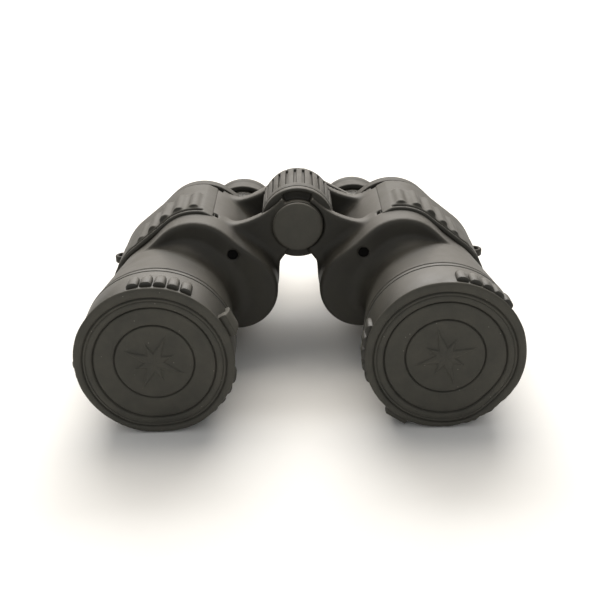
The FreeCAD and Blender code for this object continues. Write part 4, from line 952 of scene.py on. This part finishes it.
# ---------------------------------------------------------------- bridge end and screws

hub = turned("bridge_end_hub", "left", HINGE_CENTRE, rounded(
    [(4.44, 130.2), (6.0, 130.2), (6.0, 139.4), (8.6, 139.4), (8.6, 140.9), (7.9, 141.0),
     (4.44, 141.0)], 0.3, 3), bridge_enamel, 110)
fit(hub, "right_ocular", "bridge_metal", "bridge_hub")


def slotted_screw(name, side, centre, shank, head, slot_width, slot_depth):
    """A turned screw with a driver slot; shank and head are (radius, front, rear)."""
    top = [(head[0] * share, head[2]) for share in np.linspace(0.94, 0.0, 12)]
    profile = [(0.0, shank[1]), (shank[0], shank[1]), (shank[0], shank[2]),
               (head[0] - 0.1, head[1]), (head[0], head[1] + 0.15),
               (head[0], head[2] - 0.3), (head[0] - 0.08, head[2] - 0.08)] + top

    def sunk(angle, radius, back):
        off = np.abs(radius * np.sin(angle + 0.6))
        rear = np.clip((back - head[2] + 0.4) / 0.4, 0, 1)
        return radius, back - slot_depth * rear * np.clip((slot_width - off) / 0.12, 0, 1)

    return turned(name, side, centre, profile, screw_steel, 180, sunk)


screw = slotted_screw("bridge_end_screw", "right", HINGE_CENTRE, (2.5, 134.0, 141.0),
                      (4.4, 141.0, 142.6), 0.5, 0.7)
fit(screw, "right_ocular", "screw_steel", "bridge_screw")
for side in SIDES:
    front, rear = (station(side + "_cover_screws", end) for end in (0, 1))
    replaced = [side + "_cover_screws"]
    for count, place in enumerate(screw_places()):
        screw = slotted_screw("%s_cover_screw_%d" % (side, count + 1), side, place,
                              (1.0, front, rear - 1.6), (1.8, rear - 1.6, rear), 0.25, 0.5)
        fit(screw, BODY_OF_SIDE[side], "screw_steel", *replaced)
        replaced = []


# ---------------------------------------------------------------- floor, light and camera

def stage_floor():
    """A pale floor that touches the rims in front and the armour behind them."""
    foot, heel = FRONT + 6.8 * MM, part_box("left_armour")[1].y
    tilt = math.atan2(4.7 * MM, heel - foot)
    mesh = bpy.data.meshes.new("pale_floor")
    half = 9.0
    corners = [(-half, -half), (half, -half), (half, half), (-half, half)]
    mesh.from_pydata([(x, foot + y * math.cos(tilt), y * math.sin(tilt)) for x, y in corners],
                     [], [(0, 1, 2, 3)])
    mesh.materials.append(paper)
    floor = bpy.data.objects.new("pale_floor", mesh)
    bpy.context.scene.collection.objects.link(floor)


def soft_light(name, place, aim, size, power, tint="#ffffff"):
    light = bpy.data.lights.new(name, "AREA")
    light.color = colour(tint)[:3]
    light.shape, light.size, light.size_y, light.energy = "RECTANGLE", *size, power
    lamp = bpy.data.objects.new(name, light)
    lamp.location = place
    lamp.rotation_euler = (Vector(aim) - Vector(place)).to_track_quat("-Z", "Y").to_euler()
    bpy.context.scene.collection.objects.link(lamp)


def set_camera():
    """A 60 mm lens looking down a little on the caps."""
    data = bpy.data.cameras.new("camera")
    data.lens, data.sensor_width = 60.0, 36.0
    data.clip_end = 50.0
    pitch, yaw, roll = (math.radians(a) for a in (23.78, -0.12, -1.17))
    ahead = Vector((math.sin(yaw) * math.cos(pitch), math.cos(yaw) * math.cos(pitch),
                    -math.sin(pitch)))
    level = ahead.cross(Vector((0, 0, 1))).normalized()
    upright = level.cross(ahead)
    right = math.cos(roll) * level + math.sin(roll) * upright
    up = -math.sin(roll) * level + math.cos(roll) * upright
    camera = bpy.data.objects.new("camera", data)
    turn = Matrix((right, up, -ahead)).transposed().to_4x4()
    camera.matrix_world = Matrix.Translation((0.00133, -0.45944, 0.22518)) @ turn
    bpy.context.scene.collection.objects.link(camera)
    bpy.context.scene.camera = camera


# Studio paper, pale and quite matt, with a trace of fibre tone.
paper = moulded("studio_paper", "#e4e4e2", "#e8e8e6", 0.9, 0.1, 2.0, 0.005, 60.0)
stage_floor()
soft_light("overhead", (-0.05, 0.30, 0.85), (0.0, 0.02, 0.03), (1.1, 0.6), 7.0,
           "#fff6ea")
soft_light("rear_panel", (0.0, 1.15, 0.62), (0.0, 0.0, 0.04), (1.8, 0.9), 10.8,
           "#fff3e4")
soft_light("backdrop_wash", (0.0, 3.2, 3.0), (0.0, 2.6, 0.0), (4.0, 2.0), 190.0)
soft_light("front_fill", (0.0, -1.3, 0.75), (0.0, 0.0, 0.04), (1.2, 0.8), 1.8)
world = bpy.data.worlds.new("studio")
world.use_nodes = True
world.node_tree.nodes["Background"].inputs["Color"].default_value = colour("#ffffff")
world.node_tree.nodes["Background"].inputs["Strength"].default_value = 0.46
bpy.context.scene.world = world
bpy.context.scene.view_settings.view_transform = "Standard"
set_camera()
